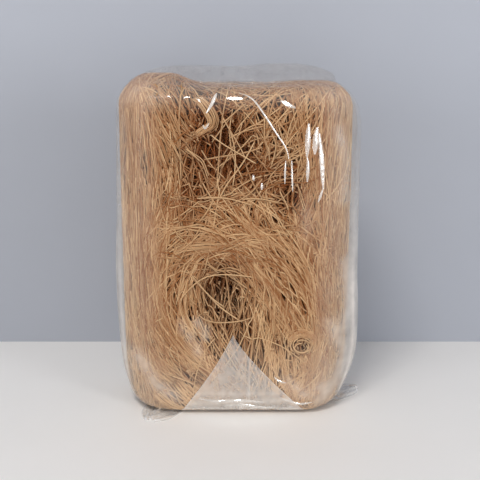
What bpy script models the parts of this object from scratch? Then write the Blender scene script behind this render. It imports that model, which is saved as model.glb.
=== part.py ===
"""A standing pack of dried brown rice vermicelli: one noodle block drawn tight in clear film.

The front faces -Y and the pack stands on Z = 0, with the origin at the middle of the face it rests on.
All lengths are in metres.
"""

import math
import random

import bpy
import bmesh
from mathutils import Vector
from mathutils.bvhtree import BVHTree

# Driving dimensions of the pack
BLOCK_WIDTH = 0.156
BLOCK_DEPTH = 0.070
BLOCK_HEIGHT = 0.224
CORNER_RADIUS = 0.027
TOP_EDGE_RADIUS = 0.013
BASE_EDGE_RADIUS = 0.010
BASE_TAPER = 0.008
BASE_TAPER_HEIGHT = 0.034
STRAND_DIAMETER = 0.0011

# Film that stands off the block
FILM_THICKNESS = 0.0009
HEADER_HEIGHT = 0.015
HEADER_LEAN = 0.012
FLAP_APEX_HEIGHT = 0.058

# Height of a noodle and of a film crease over the block, and how far every applied piece sinks into it
STRAND_RISE = 0.00085
CREASE_RISE = 0.0006
STRAND_SINK = 0.0004
SHEET_SINK = 0.0012

# Mesh fineness
BLOCK_CELL = 0.0108
STRAIGHT_STEP = 0.0135
BEND_STEP = 0.0070
GRADIENT_STEP = 0.0002
RANDOM_SEED = 27

# Broad relief as (side, x, z, reach in x, reach in z, height outward): side -1 is the front, 1 the back
RELIEF = (
    (-1, -0.056, 0.120, 0.020, 0.120, 0.0016),
    (-1, 0.058, 0.125, 0.017, 0.120, 0.0014),
    (-1, -0.008, 0.176, 0.024, 0.028, -0.0034),
    (-1, -0.009, 0.080, 0.017, 0.024, -0.0034),
    (-1, 0.026, 0.100, 0.020, 0.030, 0.0018),
    (-1, -0.008, 0.124, 0.036, 0.014, 0.0018),
    (1, 0.050, 0.110, 0.020, 0.110, 0.0016),
    (1, -0.054, 0.110, 0.018, 0.110, 0.0016),
    (1, 0.006, 0.150, 0.026, 0.040, -0.0030),
    (1, -0.004, 0.062, 0.024, 0.020, 0.0014),
)
RELIEF_FADE = (0.014, 0.040)

NOODLE_COLOUR = (0.42, 0.22, 0.10)


def smooth_step(low, high, value):
    """0 below low, 1 above high and an even curve between."""
    share = min(1.0, max(0.0, (value - low) / (high - low)))
    return share * share * (3 - 2 * share)


def relief(point):
    """How far the pack bulges out (or dips in, if negative) at a point on its front or back."""
    fade = smooth_step(*RELIEF_FADE, point.z) * smooth_step(*RELIEF_FADE, BLOCK_HEIGHT - point.z)
    total = 0.0
    for side, x, z, reach_x, reach_z, height in RELIEF:
        facing = smooth_step(0.0, BLOCK_DEPTH / 3, side * point.y)
        across = ((point.x - x) / reach_x) ** 2
        along = ((point.z - z) / reach_z) ** 2
        total += height * facing * math.exp(-across - along)
    return total * fade


def pack_distance(point):
    """Signed distance from the pack's surface: a rounded block, narrower at its foot, with the broad relief."""
    low = max(0.0, 1 - point.z / BASE_TAPER_HEIGHT)
    half_width = BLOCK_WIDTH / 2 - BASE_TAPER * low * low
    across = abs(point.x) - (half_width - CORNER_RADIUS)
    through = abs(point.y) - (BLOCK_DEPTH / 2 - CORNER_RADIUS)
    outside = math.hypot(max(across, 0.0), max(through, 0.0))
    plan = outside + min(max(across, through), 0.0) - CORNER_RADIUS
    middle = BLOCK_HEIGHT / 2
    edge = TOP_EDGE_RADIUS if point.z > middle else BASE_EDGE_RADIUS
    side = plan + edge
    end = abs(point.z - middle) - (middle - edge)
    rounded = math.hypot(max(side, 0.0), max(end, 0.0)) + min(max(side, end), 0.0) - edge
    return rounded - relief(point)


def outward(point):
    """The direction in which the distance from the pack grows fastest."""
    slope = Vector()
    for axis in range(3):
        step = Vector()
        step[axis] = GRADIENT_STEP
        slope[axis] = pack_distance(point + step) - pack_distance(point - step)
    return slope.normalized()


def on_pack(point, height=0.0):
    """The point moved along the outward direction until it lies at that height over the pack's surface."""
    for _ in range(8):
        point = point - outward(point) * (pack_distance(point) - height)
    return point


def front_point(x, z, height=0.0):
    """A point over the front face."""
    return on_pack(Vector((x, -BLOCK_DEPTH / 2, z)), height)


def new_object(name, mesh, material):
    """Links a mesh to the scene as a named object."""
    made = bpy.data.objects.new(name, mesh)
    made.data.materials.append(material)
    bpy.context.collection.objects.link(made)
    return made


def mesh_from(shape, name):
    """Turns a bmesh into a mesh with its faces pointing out."""
    bmesh.ops.recalc_face_normals(shape, faces=shape.faces)
    mesh = bpy.data.meshes.new(name)
    shape.to_mesh(mesh)
    shape.free()
    return mesh


def noodle_material():
    """Dry brown rice noodle seen through clear film."""
    material = bpy.data.materials.new("brown_rice_noodle")
    material.use_nodes = True
    shader = material.node_tree.nodes["Principled BSDF"]
    shader.inputs["Base Color"].default_value = (*NOODLE_COLOUR, 1.0)
    shader.inputs["Roughness"].default_value = 0.5
    shader.inputs["Metallic"].default_value = 0.0
    return material


def cut_along(shape, axis, length):
    """Subdivides every edge that runs along one axis into cells of about BLOCK_CELL."""
    edges = [
        edge
        for edge in shape.edges
        if abs((edge.verts[1].co - edge.verts[0].co)[axis]) > 0.9 * edge.calc_length()
    ]
    cuts = round(length / BLOCK_CELL) - 1
    bmesh.ops.subdivide_edges(shape, edges=edges, cuts=cuts, use_grid_fill=True)


def block(material):
    """The noodle block: a grid-cut box whose points are drawn onto the rounded, dented pack form."""
    size = Vector((BLOCK_WIDTH, BLOCK_DEPTH, BLOCK_HEIGHT))
    shape = bmesh.new()
    bmesh.ops.create_cube(shape, size=1.0)
    bmesh.ops.scale(shape, vec=size, verts=shape.verts)
    bmesh.ops.translate(shape, vec=(0, 0, BLOCK_HEIGHT / 2), verts=shape.verts)
    for axis in range(3):
        cut_along(shape, axis, size[axis])
    for vert in shape.verts:
        resting = vert.co.z == 0.0
        vert.co = on_pack(vert.co)
        if resting and vert.co.z < GRADIENT_STEP:
            vert.co.z = 0.0
    return new_object("vermicelli_pack", mesh_from(shape, "vermicelli_pack"), material)


def sheet(name, rows, material):
    """A closed thin plate from rows of (outer point, inner point) pairs."""
    shape = bmesh.new()
    outer = [[shape.verts.new(pair[0]) for pair in row] for row in rows]
    inner = [[shape.verts.new(pair[1]) for pair in row] for row in rows]
    for low in range(len(rows) - 1):
        for left in range(len(rows[low]) - 1):
            for layer in (outer, inner):
                corners = (
                    layer[low][left],
                    layer[low][left + 1],
                    layer[low + 1][left + 1],
                    layer[low + 1][left],
                )
                shape.faces.new(corners)
    last = len(rows[0]) - 1
    for low in range(len(rows) - 1):
        for side in (0, last):
            shape.faces.new((outer[low][side], outer[low + 1][side], inner[low + 1][side], inner[low][side]))
    for left in range(last):
        for end in (0, len(rows) - 1):
            shape.faces.new((outer[end][left], outer[end][left + 1], inner[end][left + 1], inner[end][left]))
    return new_object(name, mesh_from(shape, name), material)


def header(material):
    """The gathered end of the bag: a wavy upright sheet of film that leans back over the block."""
    columns, levels = 20, 4
    left, right = -0.066, 0.069
    root = BLOCK_HEIGHT - 0.004
    rows = []
    for level in range(levels):
        rise = level / (levels - 1)
        row = []
        for column in range(columns):
            share = column / (columns - 1)
            x = left + (right - left) * share
            shoulder = math.sin(math.pi * share) ** 0.35
            wave = 0.0022 * math.sin(9.5 * share + 0.8) + 0.0012 * math.sin(23 * share)
            top = BLOCK_HEIGHT + HEADER_HEIGHT * shoulder * (0.86 + 0.14 * math.cos(7 * share))
            z = root + (top - root) * rise
            y = 0.010 + HEADER_LEAN * rise * rise + wave * rise
            row.append((Vector((x, y - FILM_THICKNESS / 2, z)), Vector((x, y + FILM_THICKNESS / 2, z))))
        rows.append(row)
    return sheet("header", rows, material)


def front_flap(material):
    """The bag's folded end, turned up on the front as a triangle of several film layers."""
    levels, columns = 7, 7
    base_z = 0.004
    rows = []
    for level in range(levels):
        rise = level / (levels - 1)
        z = base_z + (FLAP_APEX_HEIGHT - base_z) * rise
        left = -0.038 + 0.038 * rise
        right = 0.004 + 0.048 * (1 - rise) ** 1.7
        row = []
        for column in range(columns):
            x = left + (right - left) * column / (columns - 1)
            row.append((front_point(x, z, FILM_THICKNESS), front_point(x, z, -SHEET_SINK)))
        rows.append(row)
    return sheet("front_flap", rows, material)


def film_ear(name, root, tip, width, curl, material):
    """A corner of the bag's end that lies on the surface beside the foot and narrows to its tip."""
    levels, columns = 6, 5
    floor_gap = 0.0004
    along = Vector(tip) - Vector(root)
    aside = Vector((-along.y, along.x, 0)).normalized()
    rows = []
    for level in range(levels):
        reach = level / (levels - 1)
        row = []
        for column in range(columns):
            share = column / (columns - 1) - 0.5
            spread = width * math.sqrt(1 - 0.93 * reach**2)
            point = Vector((*root, 0)) + Vector((*along, 0)) * reach + aside * (spread * share)
            lift = floor_gap + curl * reach**2 + 0.0006 * (1 + math.cos(2 * math.pi * share)) * reach
            low = point + Vector((0, 0, lift))
            row.append((low + Vector((0, 0, FILM_THICKNESS)), low))
        rows.append(row)
    return sheet(name, rows, material)


def route_points(guides, step_length):
    """Points about a step length apart along a smooth curve through the guide points."""
    knots = [Vector(guide) for guide in guides]
    ends = [knots[0] * 2 - knots[1], *knots, knots[-1] * 2 - knots[-2]]
    points = []
    for index in range(1, len(ends) - 2):
        before, start, finish, after = ends[index - 1 : index + 3]
        steps = max(1, round((finish - start).length / step_length))
        for step in range(steps):
            t = step / steps
            points.append(
                (
                    start * 2
                    + (finish - before) * t
                    + (before * 2 - start * 5 + finish * 4 - after) * t**2
                    + (start * 3 - before - finish * 3 + after) * t**3
                )
                / 2
            )
    points.append(knots[-1])
    return points


def ridge(name, guides, step_length, rise, surface, material):
    """A noodle or film crease: a three-sided tube that follows its route, its base sunk in the block."""
    feet = [surface.find_nearest(point)[:2] for point in route_points(guides, step_length)]
    shape = bmesh.new()
    rings = []
    for index, (foot, normal) in enumerate(feet):
        before = feet[max(index - 1, 0)][0]
        after = feet[min(index + 1, len(feet) - 1)][0]
        aside = (after - before).cross(normal).normalized() * 0.7 * STRAND_DIAMETER
        base = foot - normal * STRAND_SINK
        rings.append([shape.verts.new(p) for p in (foot + normal * rise, base + aside, base - aside)])
    for ring, following in zip(rings, rings[1:]):
        for corner in range(3):
            beside = (corner + 1) % 3
            shape.faces.new((ring[corner], ring[beside], following[beside], following[corner]))
    shape.faces.new(rings[0])
    shape.faces.new(rings[-1])
    return new_object(name, mesh_from(shape, name), material)


def column_routes(draw, side, x_from, x_to, count):
    """Noodles that run up one side of the front (-1) or back (1), swaying and leaning a little."""
    y = side * BLOCK_DEPTH / 2
    for index in range(count):
        x = x_from + (x_to - x_from) * index / (count - 1)
        sway = draw.uniform(-0.0035, 0.0035)
        lean = draw.uniform(-0.004, 0.004)
        low, high = draw.uniform(0.018, 0.034), BLOCK_HEIGHT - draw.uniform(0.010, 0.026)
        middle = (low + high) / 2
        yield (
            (x - lean, y, low),
            (x + sway, y, middle - 0.045),
            (x - sway, y, middle + 0.035),
            (x + lean, y, high),
        )


def arch_routes(draw, side, x, z, radii, height_ratio):
    """Nested bends of noodle round a hollow, open at the bottom."""
    y = side * BLOCK_DEPTH / 2
    for radius in radii:
        first, last = draw.uniform(-50, 0), draw.uniform(150, 200)
        bend = []
        for index in range(6):
            angle = math.radians(first + (last - first) * index / 5)
            bend.append((x + radius * math.cos(angle), y, z + height_ratio * radius * math.sin(angle)))
        yield bend


def crossing_routes(draw, side, x, z, reach_x, reach_z, count):
    """Loose noodles that cross each other at many angles over a hollow."""
    y = side * BLOCK_DEPTH / 2
    for index in range(count):
        angle = math.pi * (index + draw.uniform(0.1, 0.9)) / count
        half = draw.uniform(0.014, 0.028)
        centre_x = x + draw.uniform(-reach_x, reach_x)
        centre_z = z + draw.uniform(-reach_z, reach_z)
        bow = draw.uniform(-0.006, 0.006)
        across, along = math.cos(angle), math.sin(angle)
        yield (
            (centre_x - half * across, y, centre_z - half * along),
            (centre_x - bow * along, y, centre_z + bow * across),
            (centre_x + half * across, y, centre_z + half * along),
        )


def slanting_routes(draw, count):
    """The dense run of noodles that falls from the middle of the front to its lower right."""
    y = -BLOCK_DEPTH / 2
    for index in range(count):
        shift = 0.0075 * index
        sway = draw.uniform(-0.002, 0.002)
        yield (
            (0.006 + shift, y, 0.128 - 0.3 * shift),
            (0.024 + shift * 0.8 + sway, y, 0.098),
            (0.034 + shift * 0.6 - sway, y, 0.066),
            (0.034 + shift * 0.3, y, 0.034 + draw.uniform(0.0, 0.012)),
        )


def sweep_routes(draw, count):
    """Noodles at the front's lower left that turn from upright towards the middle of the foot."""
    y = -BLOCK_DEPTH / 2
    for index in range(count):
        shift = 0.007 * index
        yield (
            (-0.068 + shift, y, 0.070 + shift / 2 + draw.uniform(-0.006, 0.006)),
            (-0.061 + shift, y, 0.040 + shift / 2),
            (-0.043 + shift * 0.8, y, 0.018 + shift * 0.8),
        )


def curl_route():
    """The small rolled loop at the front's lower right."""
    y, turns, steps = -BLOCK_DEPTH / 2, 1.6, 10
    route = []
    for index in range(steps):
        share = index / (steps - 1)
        angle = 2 * math.pi * turns * share + 0.6
        radius = 0.0095 - 0.0035 * share
        route.append((0.046 + radius * math.cos(angle), y, 0.046 + radius * math.sin(angle)))
    return route


def over_top_routes(draw, count):
    """Noodles that bend over the top edge from the front to the back."""
    half = BLOCK_DEPTH / 2
    for index in range(count):
        x = -0.058 + 0.116 * index / (count - 1)
        slant = draw.uniform(-0.010, 0.010)
        yield (
            (x, -half, BLOCK_HEIGHT - 0.022),
            (x + slant * 0.3, -half + 0.004, BLOCK_HEIGHT - 0.004),
            (x + slant * 0.6, 0.0, BLOCK_HEIGHT),
            (x + slant, half - 0.004, BLOCK_HEIGHT - 0.004),
            (x + slant, half, BLOCK_HEIGHT - 0.022),
        )


def side_routes(draw, side, count):
    """Noodles that run up the narrow side on the left (-1) or right (1)."""
    x = side * BLOCK_WIDTH / 2
    for index in range(count):
        y = -0.016 + 0.032 * index / (count - 1)
        sway = draw.uniform(-0.004, 0.004)
        yield ((x, y, 0.030), (x, y + sway, 0.085), (x, y - sway, 0.140), (x, y, 0.200))


def straight_routes(draw):
    """The noodles that run long and nearly straight, family by family."""
    yield from column_routes(draw, -1, -0.070, -0.040, 7)
    yield from column_routes(draw, -1, 0.049, 0.070, 5)
    yield from column_routes(draw, 1, -0.068, -0.042, 4)
    yield from column_routes(draw, 1, 0.042, 0.068, 4)
    yield from side_routes(draw, -1, 3)
    yield from side_routes(draw, 1, 3)
    yield from crossing_routes(draw, -1, -0.002, 0.168, 0.022, 0.026, 11)
    yield from crossing_routes(draw, 1, 0.004, 0.140, 0.020, 0.030, 6)
    yield from slanting_routes(draw, 3)


def bent_routes(draw):
    """The noodles with tight bends, family by family."""
    yield from arch_routes(draw, -1, -0.008, 0.078, (0.022, 0.030, 0.037, 0.044), 1.1)
    yield from arch_routes(draw, 1, -0.004, 0.066, (0.022, 0.031), 1.1)
    yield from sweep_routes(draw, 3)
    yield curl_route()
    yield from over_top_routes(draw, 6)


def crease_routes():
    """The sharp folds that the tight film makes across the upper right of the front."""
    y = -BLOCK_DEPTH / 2
    top = BLOCK_HEIGHT
    yield ((0.002, y + 0.006, top - 0.002), (0.012, y, top - 0.016), (0.026, y, 0.190), (0.037, y, 0.172))
    yield ((0.037, y, 0.172), (0.038, y, 0.158), (0.036, y, 0.146))
    yield ((0.052, y, 0.196), (0.055, y, 0.180), (0.059, y, 0.162))
    yield ((-0.015, y, top - 0.008), (-0.019, y, 0.206))


def keep_outer_skin(mesh):
    """Leaves only the largest connected skin, so that sealed hollows are filled and loose scraps dropped."""
    shape = bmesh.new()
    shape.from_mesh(mesh)
    waiting = set(shape.verts)
    skins = []
    while waiting:
        skin, edge_of_skin = set(), [waiting.pop()]
        while edge_of_skin:
            vert = edge_of_skin.pop()
            skin.add(vert)
            for edge in vert.link_edges:
                other = edge.other_vert(vert)
                if other in waiting:
                    waiting.remove(other)
                    edge_of_skin.append(other)
        skins.append(skin)
    largest = max(skins, key=len)
    dropped = [vert for skin in skins if skin is not largest for vert in skin]
    bmesh.ops.delete(shape, geom=dropped, context="VERTS")
    bmesh.ops.triangulate(shape, faces=shape.faces)
    shape.to_mesh(mesh)
    shape.free()


def fuse(body, pieces):
    """Joins the pieces to the body as one solid and removes them."""
    gathered = bpy.data.collections.new("pieces")
    for piece in pieces:
        gathered.objects.link(piece)
    union = body.modifiers.new("union", "BOOLEAN")
    union.operation = "UNION"
    union.solver = "EXACT"
    union.operand_type = "COLLECTION"
    union.collection = gathered
    graph = bpy.context.evaluated_depsgraph_get()
    fused = bpy.data.meshes.new_from_object(body.evaluated_get(graph))
    body.modifiers.remove(union)
    keep_outer_skin(fused)
    body.data = fused
    for piece in pieces:
        bpy.data.objects.remove(piece)
    bpy.data.collections.remove(gathered)


def main():
    for old in list(bpy.data.objects):
        bpy.data.objects.remove(old)
    material = noodle_material()
    body = block(material)
    surface = BVHTree.FromObject(body, bpy.context.evaluated_depsgraph_get())
    pieces = [
        header(material),
        front_flap(material),
        film_ear("left_ear", (-0.048, -0.018), (-0.058, -0.046), 0.030, 0.0, material),
        film_ear("right_ear", (0.054, 0.000), (0.088, 0.003), 0.036, 0.004, material),
    ]
    draw = random.Random(RANDOM_SEED)
    for guides in straight_routes(draw):
        pieces.append(ridge("strand", guides, STRAIGHT_STEP, STRAND_RISE, surface, material))
    for guides in bent_routes(draw):
        pieces.append(ridge("strand", guides, BEND_STEP, STRAND_RISE, surface, material))
    for guides in crease_routes():
        pieces.append(ridge("crease", guides, BEND_STEP, CREASE_RISE, surface, material))
    fuse(body, pieces)
    body.data.shade_smooth()
    body.data.set_sharp_from_angle(angle=math.radians(35))


main()
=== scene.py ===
"""A standing pack of dried brown rice vermicelli: loose dry noodles drawn tight in clear film.

The front faces -Y and the pack stands on Z = 0. All lengths are in metres unless a name says otherwise.
The noodles are grown over one rounded pack form, the film is laid over the same form, and both repeat the
sizes of the solid that they stand for.
"""

import logging
import math
from dataclasses import dataclass, field
from enum import Enum

import bmesh
import bpy
import numpy as np
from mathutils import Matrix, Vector, noise


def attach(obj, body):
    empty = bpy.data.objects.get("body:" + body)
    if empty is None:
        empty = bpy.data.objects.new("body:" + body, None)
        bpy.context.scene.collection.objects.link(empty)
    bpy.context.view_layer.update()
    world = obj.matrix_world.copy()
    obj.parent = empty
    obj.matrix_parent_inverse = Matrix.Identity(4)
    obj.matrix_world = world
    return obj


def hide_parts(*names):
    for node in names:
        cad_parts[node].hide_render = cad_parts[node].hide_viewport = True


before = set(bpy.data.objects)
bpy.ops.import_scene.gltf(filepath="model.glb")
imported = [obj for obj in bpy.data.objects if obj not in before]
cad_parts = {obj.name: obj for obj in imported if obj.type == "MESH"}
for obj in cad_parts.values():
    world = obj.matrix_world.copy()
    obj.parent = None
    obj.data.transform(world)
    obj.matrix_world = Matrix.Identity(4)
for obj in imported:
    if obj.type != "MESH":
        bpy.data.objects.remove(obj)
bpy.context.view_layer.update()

PACK_NODE = "vermicelli_pack"
PACK_BODY = "root"
MM = 0.001

log = logging.getLogger("vermicelli_pack")


class Face(Enum):
    """The face of the pack that a family of noodles starts from."""

    FRONT = "front"
    BACK = "back"
    LEFT = "left"
    RIGHT = "right"
    TOP = "top"
    BASE = "base"


class Slot(Enum):
    """The record's material slots."""

    NOODLE = "rice_noodle"
    FILM = "clear_film"


@dataclass(frozen=True)
class Bulge:
    """A soft swelling (or hollow, if its height is negative) on the front (side -1) or back (side 1)."""

    side: int
    x: float
    z: float
    reach_x: float
    reach_z: float
    height: float


RELIEF = (
    Bulge(-1, -0.056, 0.120, 0.020, 0.120, 0.0016),
    Bulge(-1, 0.058, 0.125, 0.017, 0.120, 0.0014),
    Bulge(-1, -0.008, 0.176, 0.024, 0.028, -0.0034),
    Bulge(-1, -0.009, 0.080, 0.017, 0.024, -0.0034),
    Bulge(-1, 0.026, 0.100, 0.020, 0.030, 0.0018),
    Bulge(-1, -0.008, 0.124, 0.036, 0.014, 0.0018),
    Bulge(1, 0.050, 0.110, 0.020, 0.110, 0.0016),
    Bulge(1, -0.054, 0.110, 0.018, 0.110, 0.0016),
    Bulge(1, 0.006, 0.150, 0.026, 0.040, -0.0030),
    Bulge(1, -0.004, 0.062, 0.024, 0.020, 0.0014),
)

HOLLOWS = (
    Bulge(-1, -0.012, 0.190, 0.017, 0.024, 0.0120),
    Bulge(-1, -0.009, 0.082, 0.014, 0.022, 0.0150),
    Bulge(-1, 0.016, 0.168, 0.016, 0.018, 0.0050),
    Bulge(-1, 0.036, 0.160, 0.007, 0.016, 0.0060),
    Bulge(-1, -0.030, 0.152, 0.010, 0.020, 0.0050),
    Bulge(-1, 0.0444, 0.0492, 0.0052, 0.0046, 0.0160),
    Bulge(-1, 0.029, 0.0500, 0.004, 0.005, 0.0050),
    Bulge(-1, -0.032, 0.026, 0.012, 0.006, 0.0040),
    Bulge(1, 0.006, 0.150, 0.022, 0.034, 0.0110),
    Bulge(1, -0.020, 0.060, 0.016, 0.016, 0.0080),
)


# Partings between the noodles on the front, where the dark inside shows: millimetres across and up, the half
# width and half height of each, and its lean in degrees.
PARTINGS = (
    (-19.9, 188.2, 3.3, 6.8, 0),
    (-7.5, 191.4, 3.3, 4.8, 0),
    (-9.6, 173.7, 2.7, 4.1, 0),
    (-31, 175.7, 3.3, 6.2, 0),
    (-26.6, 165.8, 2.7, 6.2, 0),
    (-40.9, 167.1, 1.2, 12.3, 0),
    (-33.8, 159.1, 2, 5.5, 0),
    (-6.4, 156.4, 3.3, 3.4, 0),
    (-4.4, 143.7, 2.7, 4.1, 0),
    (-26.3, 132.8, 2, 2.1, 0),
    (-31.8, 114.3, 2.7, 4.1, 0),
    (-31.9, 105.3, 2.7, 2.7, 0),
    (-13.9, 107.4, 2, 4.1, 0),
    (10.7, 143, 2.7, 6.8, 20),
    (18, 134.9, 2, 3.4, 0),
    (35.1, 138.9, 2, 2.7, 0),
    (25.2, 139.6, 2.7, 4.1, 0),
    (-18.7, 85.8, 2.7, 7.5, 0),
    (-27.4, 90.7, 2.7, 5.5, 0),
    (-1.2, 80.8, 2.7, 4.8, 0),
    (-44.1, 97, 2.2, 6.2, -8),
    (-37.4, 97, 2, 5.5, 0),
    (-56.4, 80.8, 0.88, 4.1, 0),
    (-43, 77.3, 2.4, 2.7, 0),
    (-34.7, 144.4, 2.7, 4.1, 0),
    (-39.3, 143, 2, 4.1, 0),
    (-24.8, 145.7, 2, 4.1, 0),
    (2.8, 144.4, 2.4, 2.7, 0),
    (4.1, 128.7, 2, 3.4, 0),
    (-2.5, 125.3, 2.4, 2.7, 0),
    (-48.5, 211.5, 0.55, 8.2, 12),
    (-31.8, 211.5, 1.6, 8.2, 14),
    (-41.1, 195.3, 0.66, 5.5, 16),
    (-34.1, 185.6, 1.8, 4.1, 0),
    (42.7, 113, 1.2, 4.1, 28),
    (34.8, 110.2, 1.5, 6.2, 35),
    (28.1, 116.4, 1.8, 4.8, 40),
    (17.5, 106, 1.8, 4.8, 60),
    (39.5, 152.4, 2, 5.5, 0),
    (31.7, 147.1, 1.6, 3.4, 0),
    (4.7, 191.4, 3, 4.1, 0),
    (2.8, 175.7, 3, 4.1, 0),
    (17.1, 185.6, 3.4, 4.1, 0),
    (25.4, 198.6, 3, 3.4, 0),
    (-59.5, 150, 0.61, 12, 0),
    (-53.5, 176, 0.55, 9, 0),
    (22, 72, 0.78, 6.5, 10),
    (33, 84, 1.3, 6, 24),
    (9.5, 60, 1.4, 5, 8),
    (-50.5, 205, 0.61, 9, 12),
    (-45.5, 186, 0.66, 10, 10),
    (-44, 207, 0.61, 8, 16),
    (-57, 197, 0.55, 10, 10),
    (-47.5, 152, 0.66, 10, 4),
    (-52, 128, 0.55, 9, 2),
    (-43, 128, 0.72, 7, -10),
    (-58, 95, 0.66, 7, 3),
    (-50, 108, 0.72, 6, -6),
    (-48, 62, 0.53, 5, 26),
    (57, 190, 0.55, 9, -8),
    (60, 140, 0.66, 8, -4),
    (55, 122, 0.66, 7, 10),
    (58, 80, 0.72, 7, 6),
    (52, 66, 0.46, 5, 14),
    (44, 98, 1.3, 6, 30),
    (52, 150, 0.66, 6, -6),
    (36, 66, 0.84, 5, 16),
    (30, 98, 1.3, 7, 38),
    (38, 92, 1.3, 7, 32),
    (24, 106, 1.2, 6, 50),
    (46, 80, 1.3, 6, 22),
    (20, 88, 1.3, 6, 34),
    (14, 96, 1.2, 5, 50),
    (-20, 112, 1.3, 5, -66),
    (-6, 116, 1.2, 5, -84),
    (6, 112, 1.3, 5, 80),
    (-10, 106, 1.4, 4, -80),
    (12, 126, 1.3, 4, 70),
    (-22, 124, 1.3, 4, -66),
    (-2, 134, 1.4, 4, 84),
    (-16, 138, 1.5, 3, -50),
    (32, 126, 1.3, 5, 44),
    (-14, 60, 1.6, 4, 10),
    (0, 56, 1.6, 5, 6),
    (-30, 70, 0.96, 5, 30),
)


def smooth_step(low: float, high: float, value: np.ndarray) -> np.ndarray:
    """0 below low, 1 above high and an even curve between.

    Args:
        low: Where the curve starts to rise.
        high: Where it reaches 1.
        value: The numbers to map.

    Returns:
        The mapped numbers.
    """
    share = np.clip((value - low) / (high - low), 0.0, 1.0)
    return share * share * (3 - 2 * share)


def unit(vectors: np.ndarray) -> np.ndarray:
    """Vectors scaled to length 1."""
    return vectors / np.maximum(np.linalg.norm(vectors, axis=-1, keepdims=True), 1e-9)


def turned(vectors: np.ndarray, axes: np.ndarray, angles: np.ndarray) -> np.ndarray:
    """Vectors turned about unit axes that stand square to them.

    Args:
        vectors: One vector a row.
        axes: One unit axis a row.
        angles: One angle a row, in radians.

    Returns:
        The turned vectors.
    """
    across = np.cross(axes, vectors)
    return vectors * np.cos(angles)[:, None] + across * np.sin(angles)[:, None]


def summed(bulges: tuple[Bulge, ...], points: np.ndarray, depth: float) -> np.ndarray:
    """The height that a set of bulges gives at each point.

    Args:
        bulges: The bulges to add up.
        points: Points with x, y and z in the last axis.
        depth: The pack's depth, over which a bulge fades from one face to the other.

    Returns:
        One height for each point.
    """
    total = np.zeros(points.shape[:-1])
    for bulge in bulges:
        facing = smooth_step(0.0, depth / 3, bulge.side * points[..., 1])
        across = ((points[..., 0] - bulge.x) / bulge.reach_x) ** 2
        along = ((points[..., 2] - bulge.z) / bulge.reach_z) ** 2
        total += bulge.height * facing * np.exp(-across - along)
    return total


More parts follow.
